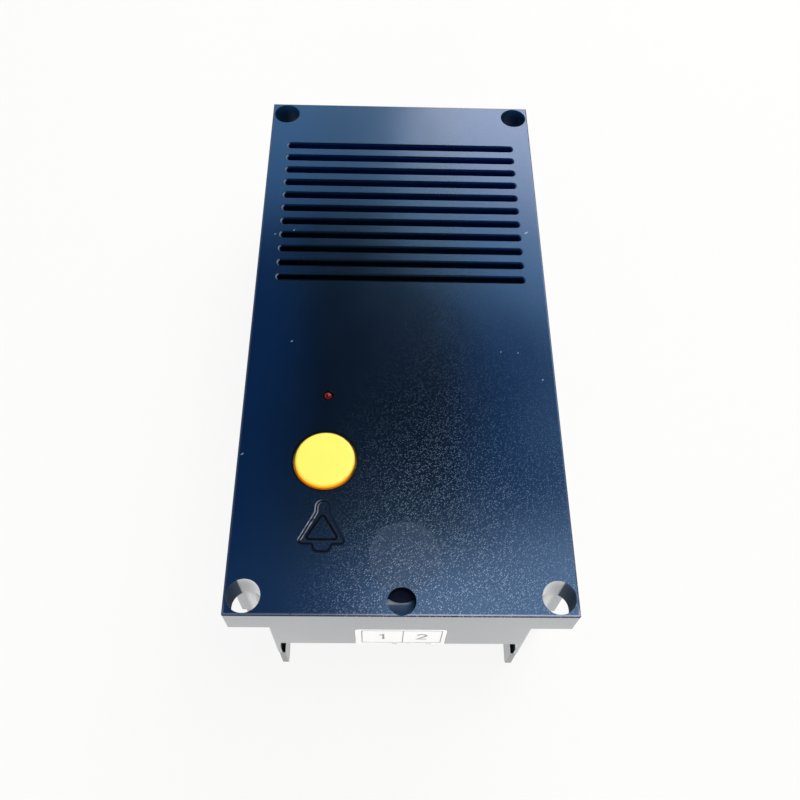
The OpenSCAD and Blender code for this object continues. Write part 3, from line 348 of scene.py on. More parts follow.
# moulded plastic of the housing; places and sizes are in millimetres
housingPlastic = {
    "navy": rgb(0.0012, 0.0130, 0.0520),
    # painted shade: the darker colour of the face's middle
    "middleShade": rgb(0.0012, 0.0045, 0.0125),
    # painted reflection: the walls a lighter grey than the face
    "wall": rgb(0.055, 0.055, 0.052),
    # painted glints on the grain's tops
    "paintedGlint": rgb(0.34, 0.41, 0.50),
    "tint": rgb(0.31, 0.60, 1.0),
    # painted reflection of the white floor on the lower corner holes' inner walls
    "holeReflection": rgb(0.42, 0.42, 0.41),
    "holeShade": rgb(0.0, 0.030, 0.082),
    # painted highlight on the slots' left ends
    "bevelHighlight": rgb(0.11, 0.15, 0.21),
    "portShade": rgb(0.001, 0.003, 0.010),
    # painted highlight on the sound port's ledge
    "ledge": rgb(0.30, 0.35, 0.39),
    # painted shade in the slots, from black at the lower left to navy at the upper right
    "slotLow": rgb(0.0003, 0.0008, 0.0030),
    "slotHigh": rgb(0.0, 0.014, 0.120),
    "markShade": rgb(0.026, 0.032, 0.050),
    # painted shadow in the gap round the button
    "rimShadow": rgb(0.0, 0.0, 0.0),
    "ior": 1.58,
    "faceRough": 0.18,
    "insideRough": 0.65,
    "wallRough": 0.16,
    "markRough": 0.08,   # added in the round mark
    "darkRough": 0.4,    # added on the dark walls
    "smearRough": 0.10,  # spread that the smears add
    "wallCoat": 1.0,
    "holeCoat": 0.9,
    "coatRough": 0.07,
    "coatIor": 1.8,
    "coatSmear": (0.85, 0.3),
    "cloud": 45,
    "smear": 22,
    "smearStretch": (1, 0.45, 1),
    "upward": (0.05, 0.20),  # slope at which a surface counts as the face
    "skin": (0.9, 0.6),      # depth below the face at which the face ends
    # painted shade that darkens the face's middle: its x, how far it spreads, and how much the clouds move
    # its edge
    "shadedMiddleX": -6,
    "shadedMiddle": (22, 50),
    "shadedMiddleCloud": 16,
    "shadedMiddleClear": 0.8,  # share that the lowest strip takes away
    # moulded grain: dots from one to the next, and where painted glints brighten them
    "pebble": 0.45,
    "pebbleSlant": 0.8,
    "pebbleStretch": (0.78, 1.25, 1.0),
    "glintEdge": (0.12, 0.50),
    "domeEdge": (0.0, 0.48),
    "grainDepth": 0.000028,
    "grainSide": (-15, 25),
    "grainSlope": 0.12,
    "grainCloud": 20,
    "grainRight": (18, 46),
    "grainRightLoss": 0.4,
    "lower": (-90, 20),
    "lowest": (-96, -70),
    "glintShares": (0.38, 0.72, 0.05),  # lower part, lowest strip, everywhere
    "domeShares": (0.9, 0.1),           # lower part, everywhere
    "fineGrain": 0.5,
    "fineShares": (0.5, 0.45),          # on the walls, and what the face loses of it
    # round mark: x, y and radius, then its edge and ring as shares of the radius
    "mark": (0.9, -82.6, 10.25),
    "markEdge": (0.95, 1.03),
    "markRing": (0.84, 0.95),
    "markShares": (0.4, 0.35),
    # painted shadow in the gap round the button's hole: x, y and radius
    "button": (-22.8, -53.2, 9.75),
    "rimEdge": (0.18, 0.36),
    # painted highlight on the slots' left ends
    "bevelLean": (0.25, 0.60),
    "bevelFrom": (8, 12),
    "bevelLeft": (-42, -36),
    # corner holes and sound port: x, y and reach
    "holes": (43.5, 94.5, 5.0),
    "holeEdge": 0.3,
    "holeDepth": (11.9, 11.6),
    "holeInward": (0.36, 0.50),
    "upperHoles": (-5, 5),
    "port": (0.0, -95.75, 4.05),
    "portEdge": 0.12,
    "ledgeLine": (-96.3, -95.7),
    "ledgeHaze": (-98.2, -96),
    "ledgeShares": (0.8, 0.12),
    "ledgeRight": (0.8, 3.2),
    # field of the slots: lower end, upper end, sides and depth below the face
    "grille": ((6, 9), (86, 88), (45, 46.5)),
    "grilleDepth": (6, 5),
    "slotSlope": 0.5,
    "slotFade": (10, 95),
}


def housingFinish(look):
    finish = Finish("housing_black")
    x, y = finish.millimetres()
    upward = finish.step(finish.facing("Z"), *look["upward"])
    skinLow, skinHigh = look["skin"]
    outside = finish.step(finish.axis("Z"), faceZ - skinLow * mm, faceZ - skinHigh * mm)
    face = upward * outside
    cloud = finish.noise(look["cloud"], 3, 0.55)
    # painted shade darkens the middle; painted glints brighten the grain's tops
    pebble, shade = finish.pebbles(look["pebble"], look["pebbleSlant"], look["pebbleStretch"])
    shadedMiddle = finish.fade(finish.far(x, look["shadedMiddleX"]) + cloud * look["shadedMiddleCloud"], *look["shadedMiddle"])
    grained = finish.step(x - y * look["grainSlope"] + cloud * look["grainCloud"], *look["grainSide"])
    grained = grained * (1 - finish.step(x, *look["grainRight"]) * look["grainRightLoss"])
    lower = finish.fade(y, *look["lower"])
    lowest = finish.fade(y, *look["lowest"])
    paintedGlints = finish.fade(pebble, *look["glintEdge"]) * shade ** 3 * face
    domes = finish.fade(pebble, *look["domeEdge"]) * shade ** 2 * face
    colour = finish.mix(shadedMiddle * (1 - lowest * look["shadedMiddleClear"]), look["navy"], look["middleShade"])
    markX, markY, markRadius = look["mark"]
    spread = reach(x - markX, y - markY) / markRadius
    disc = finish.fade(spread, *look["markEdge"]) * face
    ring = disc * finish.step(spread, *look["markRing"])
    discShare, ringShare = look["markShares"]
    colour = finish.mix(disc * discShare + ring * ringShare, colour, look["markShade"])
    # painted glints, stronger towards the lower end where the face reflects more light
    lowerShare, lowestShare, restShare = look["glintShares"]
    paintedHighlight = lower ** 2 * lowerShare + lowest * lowestShare + restShare
    colour = finish.mix(paintedGlints * grained * paintedHighlight, colour, look["paintedGlint"])
    marks = scuffMarks(finish, x, y, scuffs) * face
    colour = finish.mix(marks * scuffs["share"], colour, scuffs["shade"])
    colour = finish.mix(edgeHighlight(finish, x, y, edgeLine) * face, colour, edgeLine["shade"])
    buttonX, buttonY, buttonReach = look["button"]
    gapShadow = finish.fade(finish.far(reach(x - buttonX, y - buttonY), buttonReach), *look["rimEdge"])
    colour = finish.mix(gapShadow, colour, look["rimShadow"])
    # painted highlight on the bevels of the slots' left ends
    bevelHighlight = finish.step(finish.facing("X"), *look["bevelLean"]) * finish.step(y, *look["bevelFrom"]) * outside
    colour = finish.mix(bevelHighlight * finish.fade(x, *look["bevelLeft"]), colour, look["bevelHighlight"])
    # walls; painted shade darkens the slots, the sound port, the upper holes and the lower ones' outer sides
    holeX, holeY, holeReach = look["holes"]
    hole = reach(finish.far(x, 0) - holeX, finish.far(y, 0) - holeY)
    inHole = finish.fade(hole, holeReach, holeReach + look["holeEdge"])
    # behind the flange the upper holes end in the open notches
    holeDeep, holeShallow = look["holeDepth"]
    behind = finish.fade(finish.axis("Z"), faceZ - holeDeep * mm, faceZ - holeShallow * mm)
    upper = finish.step(y, *look["upperHoles"])
    inHole = inHole * (1 - behind * upper)
    inward = finish.step(0 - x * finish.facing("X") / holeX, *look["holeInward"])
    portX, portY, portReach = look["port"]
    inPort = finish.fade(reach(x - portX, y - portY), portReach, portReach + look["portEdge"])
    grilleLow, grilleHigh, grilleSides = look["grille"]
    inGrille = finish.step(y, *grilleLow) * finish.fade(y, *grilleHigh)
    inGrille = inGrille * finish.fade(finish.far(x, 0), *grilleSides)
    grilleDeep, grilleShallow = look["grilleDepth"]
    inGrille = inGrille * finish.step(finish.axis("Z"), faceZ - grilleDeep * mm, faceZ - grilleShallow * mm)
    darkHole = inHole * finish.most(inward, upper)
    dark = finish.most(darkHole, finish.most(inPort, inGrille))
    # painted reflection on the walls, paler inside the lower corner holes
    wall = finish.mix(inHole, look["wall"], look["holeReflection"])
    shaded = finish.mix(inPort, look["holeShade"], look["portShade"])
    slotHeight = finish.step(y + x * look["slotSlope"], *look["slotFade"])
    shaded = finish.mix(inGrille, shaded, finish.mix(slotHeight, look["slotLow"], look["slotHigh"]))
    colour = finish.mix(upward, finish.mix(dark, wall, shaded), colour)
    # painted highlight along the rear edge of the sound port's ledge, with a faint painted light over the
    # ledge, both left out at the right
    lineShare, hazeShare = look["ledgeShares"]
    line = finish.step(y, *look["ledgeLine"]) ** 2 * lineShare
    haze = finish.step(y, *look["ledgeHaze"]) * hazeShare
    ledgeLight = (line + haze) * finish.fade(x, *look["ledgeRight"])
    colour = finish.mix(inPort * upward * (1 - outside) * ledgeLight, colour, look["ledge"])
    # gloss
    smear = finish.noise(look["smear"], 3, 0.6, look["smearStretch"])
    topRough = look["insideRough"] + outside * (look["faceRough"] - look["insideRough"])
    rough = look["wallRough"] + upward * (topRough - look["wallRough"]) + (smear - 0.5) * look["smearRough"]
    rough = rough + marks * scuffs["rough"] + disc * look["markRough"]
    coat = (look["wallCoat"] + inHole * (look["holeCoat"] - look["wallCoat"])) * (1 - dark)
    coatBase, coatSmear = look["coatSmear"]
    # relief
    wallFine, faceLoss = look["fineShares"]
    domeLower, domeRest = look["domeShares"]
    relief = finish.noise(look["fineGrain"]) * (wallFine - upward * faceLoss)
    relief = relief + domes * grained * (lower * domeLower + domeRest)
    return finish.surface({
        "Base Color": colour,
        "Roughness": rough + dark * (1 - upward) * look["darkRough"],
        "IOR": look["ior"],
        "Specular Tint": look["tint"],
        "Coat Weight": coat * (1 - upward) * (coatBase + smear * coatSmear),
        "Coat Roughness": look["coatRough"],
        "Coat IOR": look["coatIor"],
        "Normal": finish.bump(relief, look["grainDepth"]),
    })


def reach(x, y):
    return (x * x + y * y) ** 0.5


# painted highlight along the face's edges, strongest at the lower end and to the right
edgeLine = {
    "shade": rgb(0.44, 0.45, 0.52),
    "reach": (0.35, 0.85),
    "lower": (-99.5, -96),
    "right": (-25, 15),
    "rightShares": (0.75, 0.25),
    "shares": (0.9, 0.08),  # lower end, other edges
    "breaks": 0.9,
    "broken": (0.15, 0.45),
    "flat": (0.80, 0.97),
}


def edgeHighlight(finish, x, y, look):
    sideways = housingHigh.x / mm - finish.far(x, 0)
    lengthways = housingHigh.y / mm - finish.far(y, 0)
    near = finish.fade(finish.least(sideways, lengthways), *look["reach"])
    rightShare, leftShare = look["rightShares"]
    lower = finish.fade(y, *look["lower"]) * (finish.step(x, *look["right"]) * rightShare + leftShare)
    broken = finish.step(finish.noise(look["breaks"], 3, 0.6), *look["broken"])
    flat = finish.step(finish.facing("Z"), *look["flat"])
    lowerShare, otherShare = look["shares"]
    return near * (lower * lowerShare + otherShare) * broken * flat


# small pale scuffs on the face, each a short slanted scrape
scuffs = {
    "shade": rgb(0.32, 0.36, 0.42),
    "share": 0.75,
    "rough": 0.2,
    "slant": (0.8, 0.6),
    "squeeze": (0.35, 2.2),  # along and across
    "tear": 0.5,
    "tearShare": 0.9,
    "edge": (0.4, 1.1),
    # x, y and radius in millimetres
    "places": [(44.2, 36.7, 0.8), (-35.3, -10.6, 0.5), (-43.9, 34.3, 0.4), (-37.4, 36.2, 0.4),
               (32.2, -13.7, 0.3), (37.7, -14.0, 0.3), (44.9, -24.1, 0.4), (-47.6, -51.4, 0.5)],
}


def scuffMarks(finish, x, y, look):
    ragged = finish.noise(look["tear"], 2) * look["tearShare"]
    cosine, sine = look["slant"]
    longWay, crossWay = look["squeeze"]
    marks = None
    for atX, atY, radius in look["places"]:
        along = (x - atX) * cosine + (y - atY) * sine
        across = (x - atX) * sine - (y - atY) * cosine
        distance = along * along * longWay + across * across * crossWay
        spot = finish.fade(distance / (radius * radius) + ragged, *look["edge"])
        marks = spot if marks is None else finish.most(marks, spot)
    return marks


# rear cover
coverPlastic = {
    "shades": (rgb(0.006, 0.009, 0.016), rgb(0.010, 0.013, 0.021)),
    "cloud": 30,
    "grain": 0.7,
    "depth": 0.00004,
    "rough": 0.34,
    "coat": 0.7,
    "coatRough": 0.25,
    "coatIor": 2.0,
}


def coverFinish(look):
    finish = Finish("cover_black")
    grain = finish.noise(look["grain"], 2.5, 0.6)
    clouds = finish.noise(look["cloud"], 3)
    return finish.surface({
        "Base Color": finish.mix(clouds, *look["shades"]),
        "Roughness": look["rough"] + (clouds - 0.5) * 0.15,
        "Coat Weight": look["coat"],
        "Coat Roughness": look["coatRough"],
        "Coat IOR": look["coatIor"],
        "Normal": finish.bump(grain, look["depth"], 0.6),
    })


def plainFinish(name, first, second, size, rough, extra=None, depth=0.00003):
    # two close shades, clouded, with a fine grain
    finish = Finish(name)
    clouds = finish.noise(size * 8, 3)
    grain = finish.noise(size, 2.5, 0.6)
    sockets = {
        "Base Color": finish.mix(clouds, rgb(*first), rgb(*second)),
        "Roughness": rough + (grain - 0.5) * 0.16,
        "Normal": finish.bump(grain, depth, 0.6),
    }
    sockets.update(extra or {})
    return finish.surface(sockets)


# translucent cap of the button; painted light makes the top a lighter yellow than the orange side, and a
# painted glow lights the side facing the front
buttonCap = {
    # painted light: the top is the lit yellow, the side the shaded orange
    "top": rgb(1.0, 0.95, 0.150),
    "side": rgb(1.0, 0.42, 0.008),
    "noGlow": rgb(0.0, 0.0, 0.0),
    "paintedGlow": rgb(1.0, 0.26, 0.0),
    "glow": 0.36,
    "topLean": (0.20, 0.97),
    "litLean": (0.05, 0.55),
    "litSide": 0.4,
    "grain": 0.35,
    "depth": 0.00002,
    "rough": 0.36,
    "scatter": 0.3,
    "scatterRadius": (1.0, 0.7, 0.2),
    "scatterScale": 0.002,
}


def buttonFinish(look):
    finish = Finish("button_yellow")
    upward = finish.step(finish.facing("Z"), *look["topLean"])
    grain = finish.noise(look["grain"], 2, 0.6)
    toward = 0 - finish.facing("Y") - finish.facing("X") * look["litSide"]
    paintedGlow = (1 - upward) * finish.step(toward, *look["litLean"])
    return finish.surface({
        "Base Color": finish.mix(upward, look["side"], look["top"]),
        "Roughness": look["rough"] + (grain - 0.5) * 0.12,
        "Subsurface Weight": look["scatter"],
        "Subsurface Radius": look["scatterRadius"],
        "Subsurface Scale": look["scatterScale"],
        "Emission Color": finish.mix(paintedGlow, look["noGlow"], look["paintedGlow"]),
        "Emission Strength": look["glow"],
        "Normal": finish.bump(grain, look["depth"], 0.5),
    })


def brushedFinish(name, shade, rough):
    finish = Finish(name)
    streaks = finish.noise(0.25, 3, 0.6, (1, 9, 1))
    tarnish = finish.step(finish.noise(3.0, 3), 0.35, 0.75)
    dulled = [0.8 * part for part in shade]
    return finish.surface({
        "Base Color": finish.mix(tarnish, rgb(*shade), rgb(*dulled)),
        "Metallic": 1.0,
        "Roughness": rough + streaks * 0.15,
        "Normal": finish.bump(streaks, 0.00001, 0.4),
    })


# circuit board: copper tracks under the mask, as broken parallel lines
boardMask = {
    "bare": rgb(0.010, 0.085, 0.035),
    "track": rgb(0.035, 0.20, 0.075),
    "pitch": 1.27,
    "trackEdge": (0.30, 0.42),
    "breaks": 9,
    "breakStretch": (1.4, 0.3, 1),
    "breakEdge": (0.48, 0.52),
    "weave": 0.5,
    "weaveShare": 0.08,
    "depth": 0.00004,
    "rough": 0.30,
    "coat": 0.4,
}


def boardFinish(look):
    finish = Finish("board_green")
    x = finish.axis("X") * 1000
    track = finish.maths("PINGPONG", x, look["pitch"])
    gate = finish.step(finish.noise(look["breaks"], 1, 0.5, look["breakStretch"]), *look["breakEdge"])
    lines = finish.fade(track, *look["trackEdge"]) * gate
    weave = finish.cells(look["weave"])
    return finish.surface({
        "Base Color": finish.mix(lines, look["bare"], look["track"]),
        "Roughness": look["rough"] + weave * 0.12,
        "Coat Weight": look["coat"],
        "Normal": finish.bump(lines + weave * look["weaveShare"], look["depth"], 0.7),
    })


# indicator lamp, with painted shade making it a deeper red below the face, inside its hole
lampLens = {
    "deep": rgb(0.04, 0.0, 0.0),
    "top": rgb(0.085, 0.0003, 0.0005),
    "tint": rgb(1.0, 0.55, 0.50),
    "levels": (-1.5 * mm, 0.4 * mm),  # from the face
    "swirl": 0.8,
    "rough": 0.06,
    "depth": 0.00001,
}


def lampFinish(look):
    finish = Finish("lamp_red")
    deep, top = look["levels"]
    height = finish.step(finish.axis("Z"), faceZ + deep, faceZ + top)
    swirl = finish.noise(look["swirl"], 2)
    return finish.surface({
        "Base Color": finish.mix(height, look["deep"], look["top"]),
        "Roughness": look["rough"] + swirl * 0.05,
        "Specular Tint": look["tint"],
        "Normal": finish.bump(swirl, look["depth"], 0.2),
    })


# woven cloth behind the slots
clothWeave = {
    "hollow": rgb(0.0005, 0.0015, 0.006),
    "crest": rgb(0.002, 0.004, 0.014),
    "sheenTint": rgb(0.20, 0.40, 1.0),
    "sheen": 0.06,
    "pitch": 0.55,
    "fuzz": 0.2,
    "shares": (0.6, 0.4),  # weave and fuzz in the relief
    "rough": 0.85,
    "depth": 0.00012,
}


def clothFinish(look):
    finish = Finish("black_cloth")
    weave = finish.ridges("X", look["pitch"]) * finish.ridges("Y", look["pitch"])
    fuzz = finish.noise(look["fuzz"], 3, 0.7)
    weaveShare, fuzzShare = look["shares"]
    return finish.surface({
        "Base Color": finish.mix(finish.step(weave, -1, 1), look["hollow"], look["crest"]),
        "Roughness": look["rough"] + (fuzz - 0.5) * 0.2,
        "Sheen Weight": look["sheen"],
        "Sheen Tint": look["sheenTint"],
        "Normal": finish.bump(weave * weaveShare + fuzz * fuzzShare, look["depth"], 0.8),
    })


# inner leads, black to the left and red to the right
leadWire = {"left": rgb(0.02, 0.02, 0.022), "right": rgb(0.42, 0.02, 0.02), "rough": 0.42, "depth": 0.00002}


def wireFinish(look):
    finish = Finish("wire_red")
    side = finish.step(finish.axis("X"), -0.1 * mm, 0.1 * mm)
    grain = finish.noise(0.4, 2)
    return finish.surface({
        "Base Color": finish.mix(side, look["left"], look["right"]),
        "Roughness": look["rough"] + (grain - 0.5) * 0.15,
        "Normal": finish.bump(grain, look["depth"], 0.4),
    })


# wound copper of the voice coil
coilWinding = {
    "hollow": rgb(0.30, 0.11, 0.04),
    "crest": rgb(0.62, 0.27, 0.10),
    "pitch": 0.25,
    "depth": 0.00004,
}


def coilFinish(look):
    finish = Finish("coil_copper")
    turns = finish.ridges("Z", look["pitch"])
    return finish.surface({
        "Base Color": finish.mix(finish.step(turns, -1, 1), look["hollow"], look["crest"]),
        "Metallic": 0.8,
        "Roughness": 0.3 + finish.noise(0.6, 2) * 0.12,
        "Normal": finish.bump(turns, look["depth"], 0.8),
    })


# stacked iron sheets of the transformer
ironSheets = {"iron": rgb(0.16, 0.14, 0.11), "rust": rgb(0.22, 0.15, 0.08), "pitch": 0.5, "depth": 0.00005}


def laminateFinish(look):
    finish = Finish("transformer_iron")
    sheets = finish.ridges("Z", look["pitch"])
    rust = finish.step(finish.noise(2.5, 4, 0.6), 0.45, 0.75)
    return finish.surface({
        "Base Color": finish.mix(rust, look["iron"], look["rust"]),
        "Metallic": 0.45,
        "Roughness": 0.5 + rust * 0.2,
        "Normal": finish.bump(sheets, look["depth"], 0.7),
    })


finishes = {
    "housing_black": housingFinish(housingPlastic),
    "cover_black": coverFinish(coverPlastic),
    "button_yellow": buttonFinish(buttonCap),
    "lamp_red": lampFinish(lampLens),
    "board_green": boardFinish(boardMask),
    "black_cloth": clothFinish(clothWeave),
    "wire_red": wireFinish(leadWire),
    "coil_copper": coilFinish(coilWinding),
    "transformer_iron": laminateFinish(ironSheets),
    "screw_steel": brushedFinish("screw_steel", (0.62, 0.61, 0.58), 0.28),
    "spring_steel": brushedFinish("spring_steel", (0.55, 0.55, 0.56), 0.25),
    "can_aluminium": brushedFinish("can_aluminium", (0.72, 0.72, 0.73), 0.25),
    "frame_steel": brushedFinish("frame_steel", (0.42, 0.43, 0.45), 0.38),
    "label_white": plainFinish("label_white", (0.95, 0.95, 0.94), (0.91, 0.91, 0.90), 0.3, 0.42,
                               {"Coat Weight": 0.3}, 0.00001),
    "ivory_plastic": plainFinish("ivory_plastic", (0.74, 0.68, 0.52), (0.70, 0.63, 0.47), 0.4, 0.45),
    "dark_plastic": plainFinish("dark_plastic", (0.022, 0.022, 0.024), (0.034, 0.033, 0.033), 0.35, 0.48),
    "soft_rubber": plainFinish("soft_rubber", (0.001, 0.003, 0.016), (0.002, 0.005, 0.022), 0.5, 0.72,
                               {"Specular IOR Level": 0.12}),
    "cone_paper": plainFinish("cone_paper", (0.028, 0.026, 0.025), (0.05, 0.046, 0.042), 0.6, 0.85,
                              depth=0.0001),
    "spider_cloth": plainFinish("spider_cloth", (0.42, 0.28, 0.09), (0.32, 0.20, 0.06), 0.4, 0.75,
                                depth=0.0001),
    "magnet_ferrite": plainFinish("magnet_ferrite", (0.035, 0.035, 0.037), (0.055, 0.054, 0.054), 0.5, 0.6),
    "terminal_green": plainFinish("terminal_green", (0.045, 0.33, 0.085), (0.055, 0.38, 0.10), 0.4, 0.42),
    "capacitor_sleeve": plainFinish("capacitor_sleeve", (0.010, 0.012, 0.05), (0.014, 0.017, 0.06),
                                    0.5, 0.25),
}
print("finishes:", len(finishes))

slotOf = {part["node"]: part["material_slot"] for part in frame["record"]["subparts"]}
for name, node in nodes.items():
    node.data.materials.clear()
    node.data.materials.append(finishes[slotOf[name]])


# outlines, in millimetres

def fillet(corners, steps=7):
    # rounds a closed outline; each corner is x, y and radius
    outline = []
    for i, (x, y, radius) in enumerate(corners):
        here = Vector((x, y))
        back = (Vector(corners[i - 1][:2]) - here).normalized()
        ahead = (Vector(corners[(i + 1) % len(corners)][:2]) - here).normalized()
        half = back.angle(ahead) / 2
        centre = here + (back + ahead).normalized() * radius / math.sin(half)
        start = here + back * radius / math.tan(half) - centre
        stop = here + ahead * radius / math.tan(half) - centre
        for k in range(steps + 1):
            outline.append(centre + start.lerp(stop, k / steps).normalized() * radius)
    return outline


def inset(outline, distance):
    # moves a closed anticlockwise outline inwards
    moved = []
    for i, here in enumerate(outline):
        back = (here - outline[i - 1]).normalized()
        ahead = (outline[(i + 1) % len(outline)] - here).normalized()
        inward = Vector((-back.y - ahead.y, back.x + ahead.x)).normalized()
        slant = max(inward.dot(Vector((-back.y, back.x))), 0.5)
        moved.append(here + inward * distance / slant)
    return moved


def addLoop(form, outline, height):
    return [form.verts.new((point.x * mm, point.y * mm, height)) for point in outline]


def joinLoops(form, near, far):
    for i in range(len(near)):
        j = (i + 1) % len(near)
        form.faces.new((near[i], near[j], far[j], far[i]))


# alarm bell sign below the button: two cut lines, drawn as dark ribbons of painted shadow, and along the
# outer one the lips that the cutter raised
bellSign = {
    "middle": -22.73,
    # corners of each line: x from the middle, y and radius in millimetres
    "outer": [(-7.0, -79.4, 0.9), (-2.6, -79.4, 0.7), (-2.5, -81.65, 1.6), (2.5, -81.65, 1.6),
              (2.6, -79.4, 0.7), (6.8, -79.4, 0.9), (1.95, -69.9, 0.9), (1.75, -66.4, 1.6),
              (-1.75, -66.4, 1.6), (-1.95, -69.9, 0.9)],
    "inner": [(-4.85, -78.05, 0.7), (4.85, -78.05, 0.7), (0.0, -70.2, 0.7)],
    # section of a line: offset and height in millimetres
    "lips": [(-0.62, -0.05), (-0.54, 0.035), (-0.45, 0.06), (-0.35, 0.035), (-0.22, 0.01),
             (0.22, 0.01), (0.35, 0.035), (0.45, 0.06), (0.54, 0.035), (0.62, -0.05)],
    "cut": [(-0.25, -0.02), (-0.22, 0.030), (0.0, 0.012), (0.22, 0.030), (0.25, -0.02)],
    "innerShare": 1.45,  # the inner line is wider
    # painted shadow in the cut lines, and its fainter shade on the outer one's right limb
    "grooveShadows": (rgb(0.0004, 0.0006, 0.0015), rgb(0.0015, 0.002, 0.004)),
    "fainterShade": rgb(0.004, 0.010, 0.024),
    "fainterRight": (0.5, 2.5),
    "fainterFoot": (-79.0, -78.0),
    "fainterShare": 0.8,
    # lips, with a painted highlight on the left limb
    "lipShade": rgb(0.0015, 0.007, 0.020),
    "lipHighlight": rgb(0.24, 0.27, 0.32),
    "highlightRight": (-1.2, 1.0),
    "highlightFoot": (-78.7, -77.9),
    "patch": 1.3,
    "patchReach": 2.0,
    "patchEdge": (0.30, 0.55),
}


def lineAround(name, outline, section, material):
    # sweeps a closed section round a closed outline on the face
    form = bmesh.new()
    loops = [addLoop(form, inset(outline, offset), faceZ + height * mm) for offset, height in section]
    for i in range(len(loops)):
        joinLoops(form, loops[i - 1], loops[i])
    bmesh.ops.recalc_face_normals(form, faces=form.faces)
    addMesh(name, meshOf(name, form, 60), material, "housing")


def besideMiddle(sign, key):
    return [sign["middle"] + offset for offset in sign[key]]


def grooveShadowFinish(name, sign, rightFade):
    finish = Finish(name)
    x, y = finish.millimetres()
    # painted shadow of the grooves, mottled, and fainter on the right limb
    mottle = finish.noise(0.3, 3)
    fainter = finish.step(x, *besideMiddle(sign, "fainterRight")) * finish.step(y, *sign["fainterFoot"]) * rightFade
    return finish.surface({
        "Base Color": finish.mix(fainter, finish.mix(mottle, *sign["grooveShadows"]), sign["fainterShade"]),
        "Roughness": 0.85 + mottle * 0.1,
        "Specular IOR Level": 0.1,
    })


def lipFinish(sign):
    finish = Finish("cut_lip")
    x, y = finish.millimetres()
    patchy = finish.noise(sign["patch"], 3, 0.6)
    paintedHighlight = finish.fade(x + patchy * sign["patchReach"], *besideMiddle(sign, "highlightRight"))
    paintedHighlight = paintedHighlight * finish.step(y, *sign["highlightFoot"]) * finish.step(patchy, *sign["patchEdge"])
    return finish.surface({
        "Base Color": finish.mix(paintedHighlight, sign["lipShade"], sign["lipHighlight"]),
        "Roughness": 0.36 + patchy * 0.12,
        "Specular IOR Level": 0.2,
        "Specular Tint": housingPlastic["tint"],
        "Normal": finish.bump(finish.noise(0.3, 2), 0.00001, 0.5),
    })


def makeBellSign(sign):
    outlines = {}
    for line in ("outer", "inner"):
        outlines[line] = [point + Vector((sign["middle"], 0)) for point in fillet(sign[line])]
    wide = [(offset * sign["innerShare"], height) for offset, height in sign["cut"]]
    lineAround("bellLips", outlines["outer"], sign["lips"], lipFinish(sign))
    lineAround("bellGrooveShadow", outlines["outer"], sign["cut"], grooveShadowFinish("outer_groove_shadow", sign, sign["fainterShare"]))
    lineAround("bellInnerGrooveShadow", outlines["inner"], wide, grooveShadowFinish("inner_groove_shadow", sign, 0.0))


makeBellSign(bellSign)


# print on the label: thin frame, a middle bar and the numerals 1 and 2
labelPrint = {
    "ink": rgb(0.23, 0.23, 0.24),
    "wornInk": rgb(0.36, 0.36, 0.36),
    "wornEdge": (0.45, 0.75),
    "thick": 0.02 * mm,
    # the rest in millimetres; the numerals' points are from their own middles
    "bars": (-11.1, 0.84, 12.08),
    "margin": 1.3,
    "line": 0.32,
    "stroke": 0.75,
    "one": [(-0.9, 1.5), (0.25, 2.5), (0.25, -2.5)],
    "two": [(-1.35, 1.35), (-1.05, 2.1), (-0.2, 2.5), (0.7, 2.3), (1.2, 1.6), (1.1, 0.7), (0.4, -0.3),
            (-1.4, -2.45), (1.4, -2.45)],
}


def ribbon(form, points, width, depth):
    # a flat bar along an open line on the label's outer face
    sides = ([], [])
    for i, here in enumerate(points):
        back = (here - points[max(i - 1, 0)]).normalized()
        ahead = (points[min(i + 1, len(points) - 1)] - here).normalized()
        along = (back + ahead).normalized()
        across = Vector((-along.y, along.x))
        stretch = max(across.dot(Vector((-ahead.y, ahead.x)) if ahead.length else across), 0.6)
        for side, way in zip(sides, (-1, 1)):
            side.append(here + across * way * width / 2 / stretch)
    outline = sides[0] + sides[1][::-1]
    face = labelLow.y
    front = [form.verts.new((point.x * mm, face - depth, point.y * mm)) for point in outline]
    rear = [form.verts.new((point.x * mm, face + depth, point.y * mm)) for point in outline]
    joinLoops(form, front, rear)
    last = len(outline) - 1
    for loop in (front, rear):
        for i in range(len(points) - 1):
            form.faces.new((loop[i], loop[i + 1], loop[last - i - 1], loop[last - i]))


def inkFinish(look):
    finish = Finish("label_ink")
    wear = finish.noise(0.25, 3, 0.6)
    return finish.surface({
        "Base Color": finish.mix(finish.step(wear, *look["wornEdge"]), look["ink"], look["wornInk"]),
        "Roughness": 0.5 + (wear - 0.5) * 0.2,
    })


def makeLabelPrint(look):
    form = bmesh.new()
    low, high = labelLow.z / mm + look["margin"], labelHigh.z / mm - look["margin"]
    left, middle, right = look["bars"]
    for bar in look["bars"]:
        ribbon(form, [Vector((bar, low)), Vector((bar, high))], look["line"], look["thick"])
    for level in (low, high):
        ribbon(form, [Vector((left, level)), Vector((right, level))], look["line"], look["thick"])
    centre = (low + high) / 2
    for numeral, at in (("one", (left + middle) / 2), ("two", (middle + right) / 2)):
        points = [Vector((at + x, centre + y)) for x, y in look[numeral]]
        ribbon(form, points, look["stroke"], look["thick"])
    bmesh.ops.recalc_face_normals(form, faces=form.faces)
    addMesh("labelPrint", meshOf("labelPrint", form), inkFinish(look), "housing")


makeLabelPrint(labelPrint)
print("sign and label print made")


# cloth behind the slots, stretched over the housing's pegs
clothSheet = {
    "cell": 2.6 * mm,
    "sag": 0.07 * mm,
    "level": 0.6,  # share of the sag that is even
    "ripple": 0.4,
    "ripples": (7, 5),
    "rippleStart": 2,
    "upward": 0.7,  # faces steeper than this aren't counted in the flat area
}


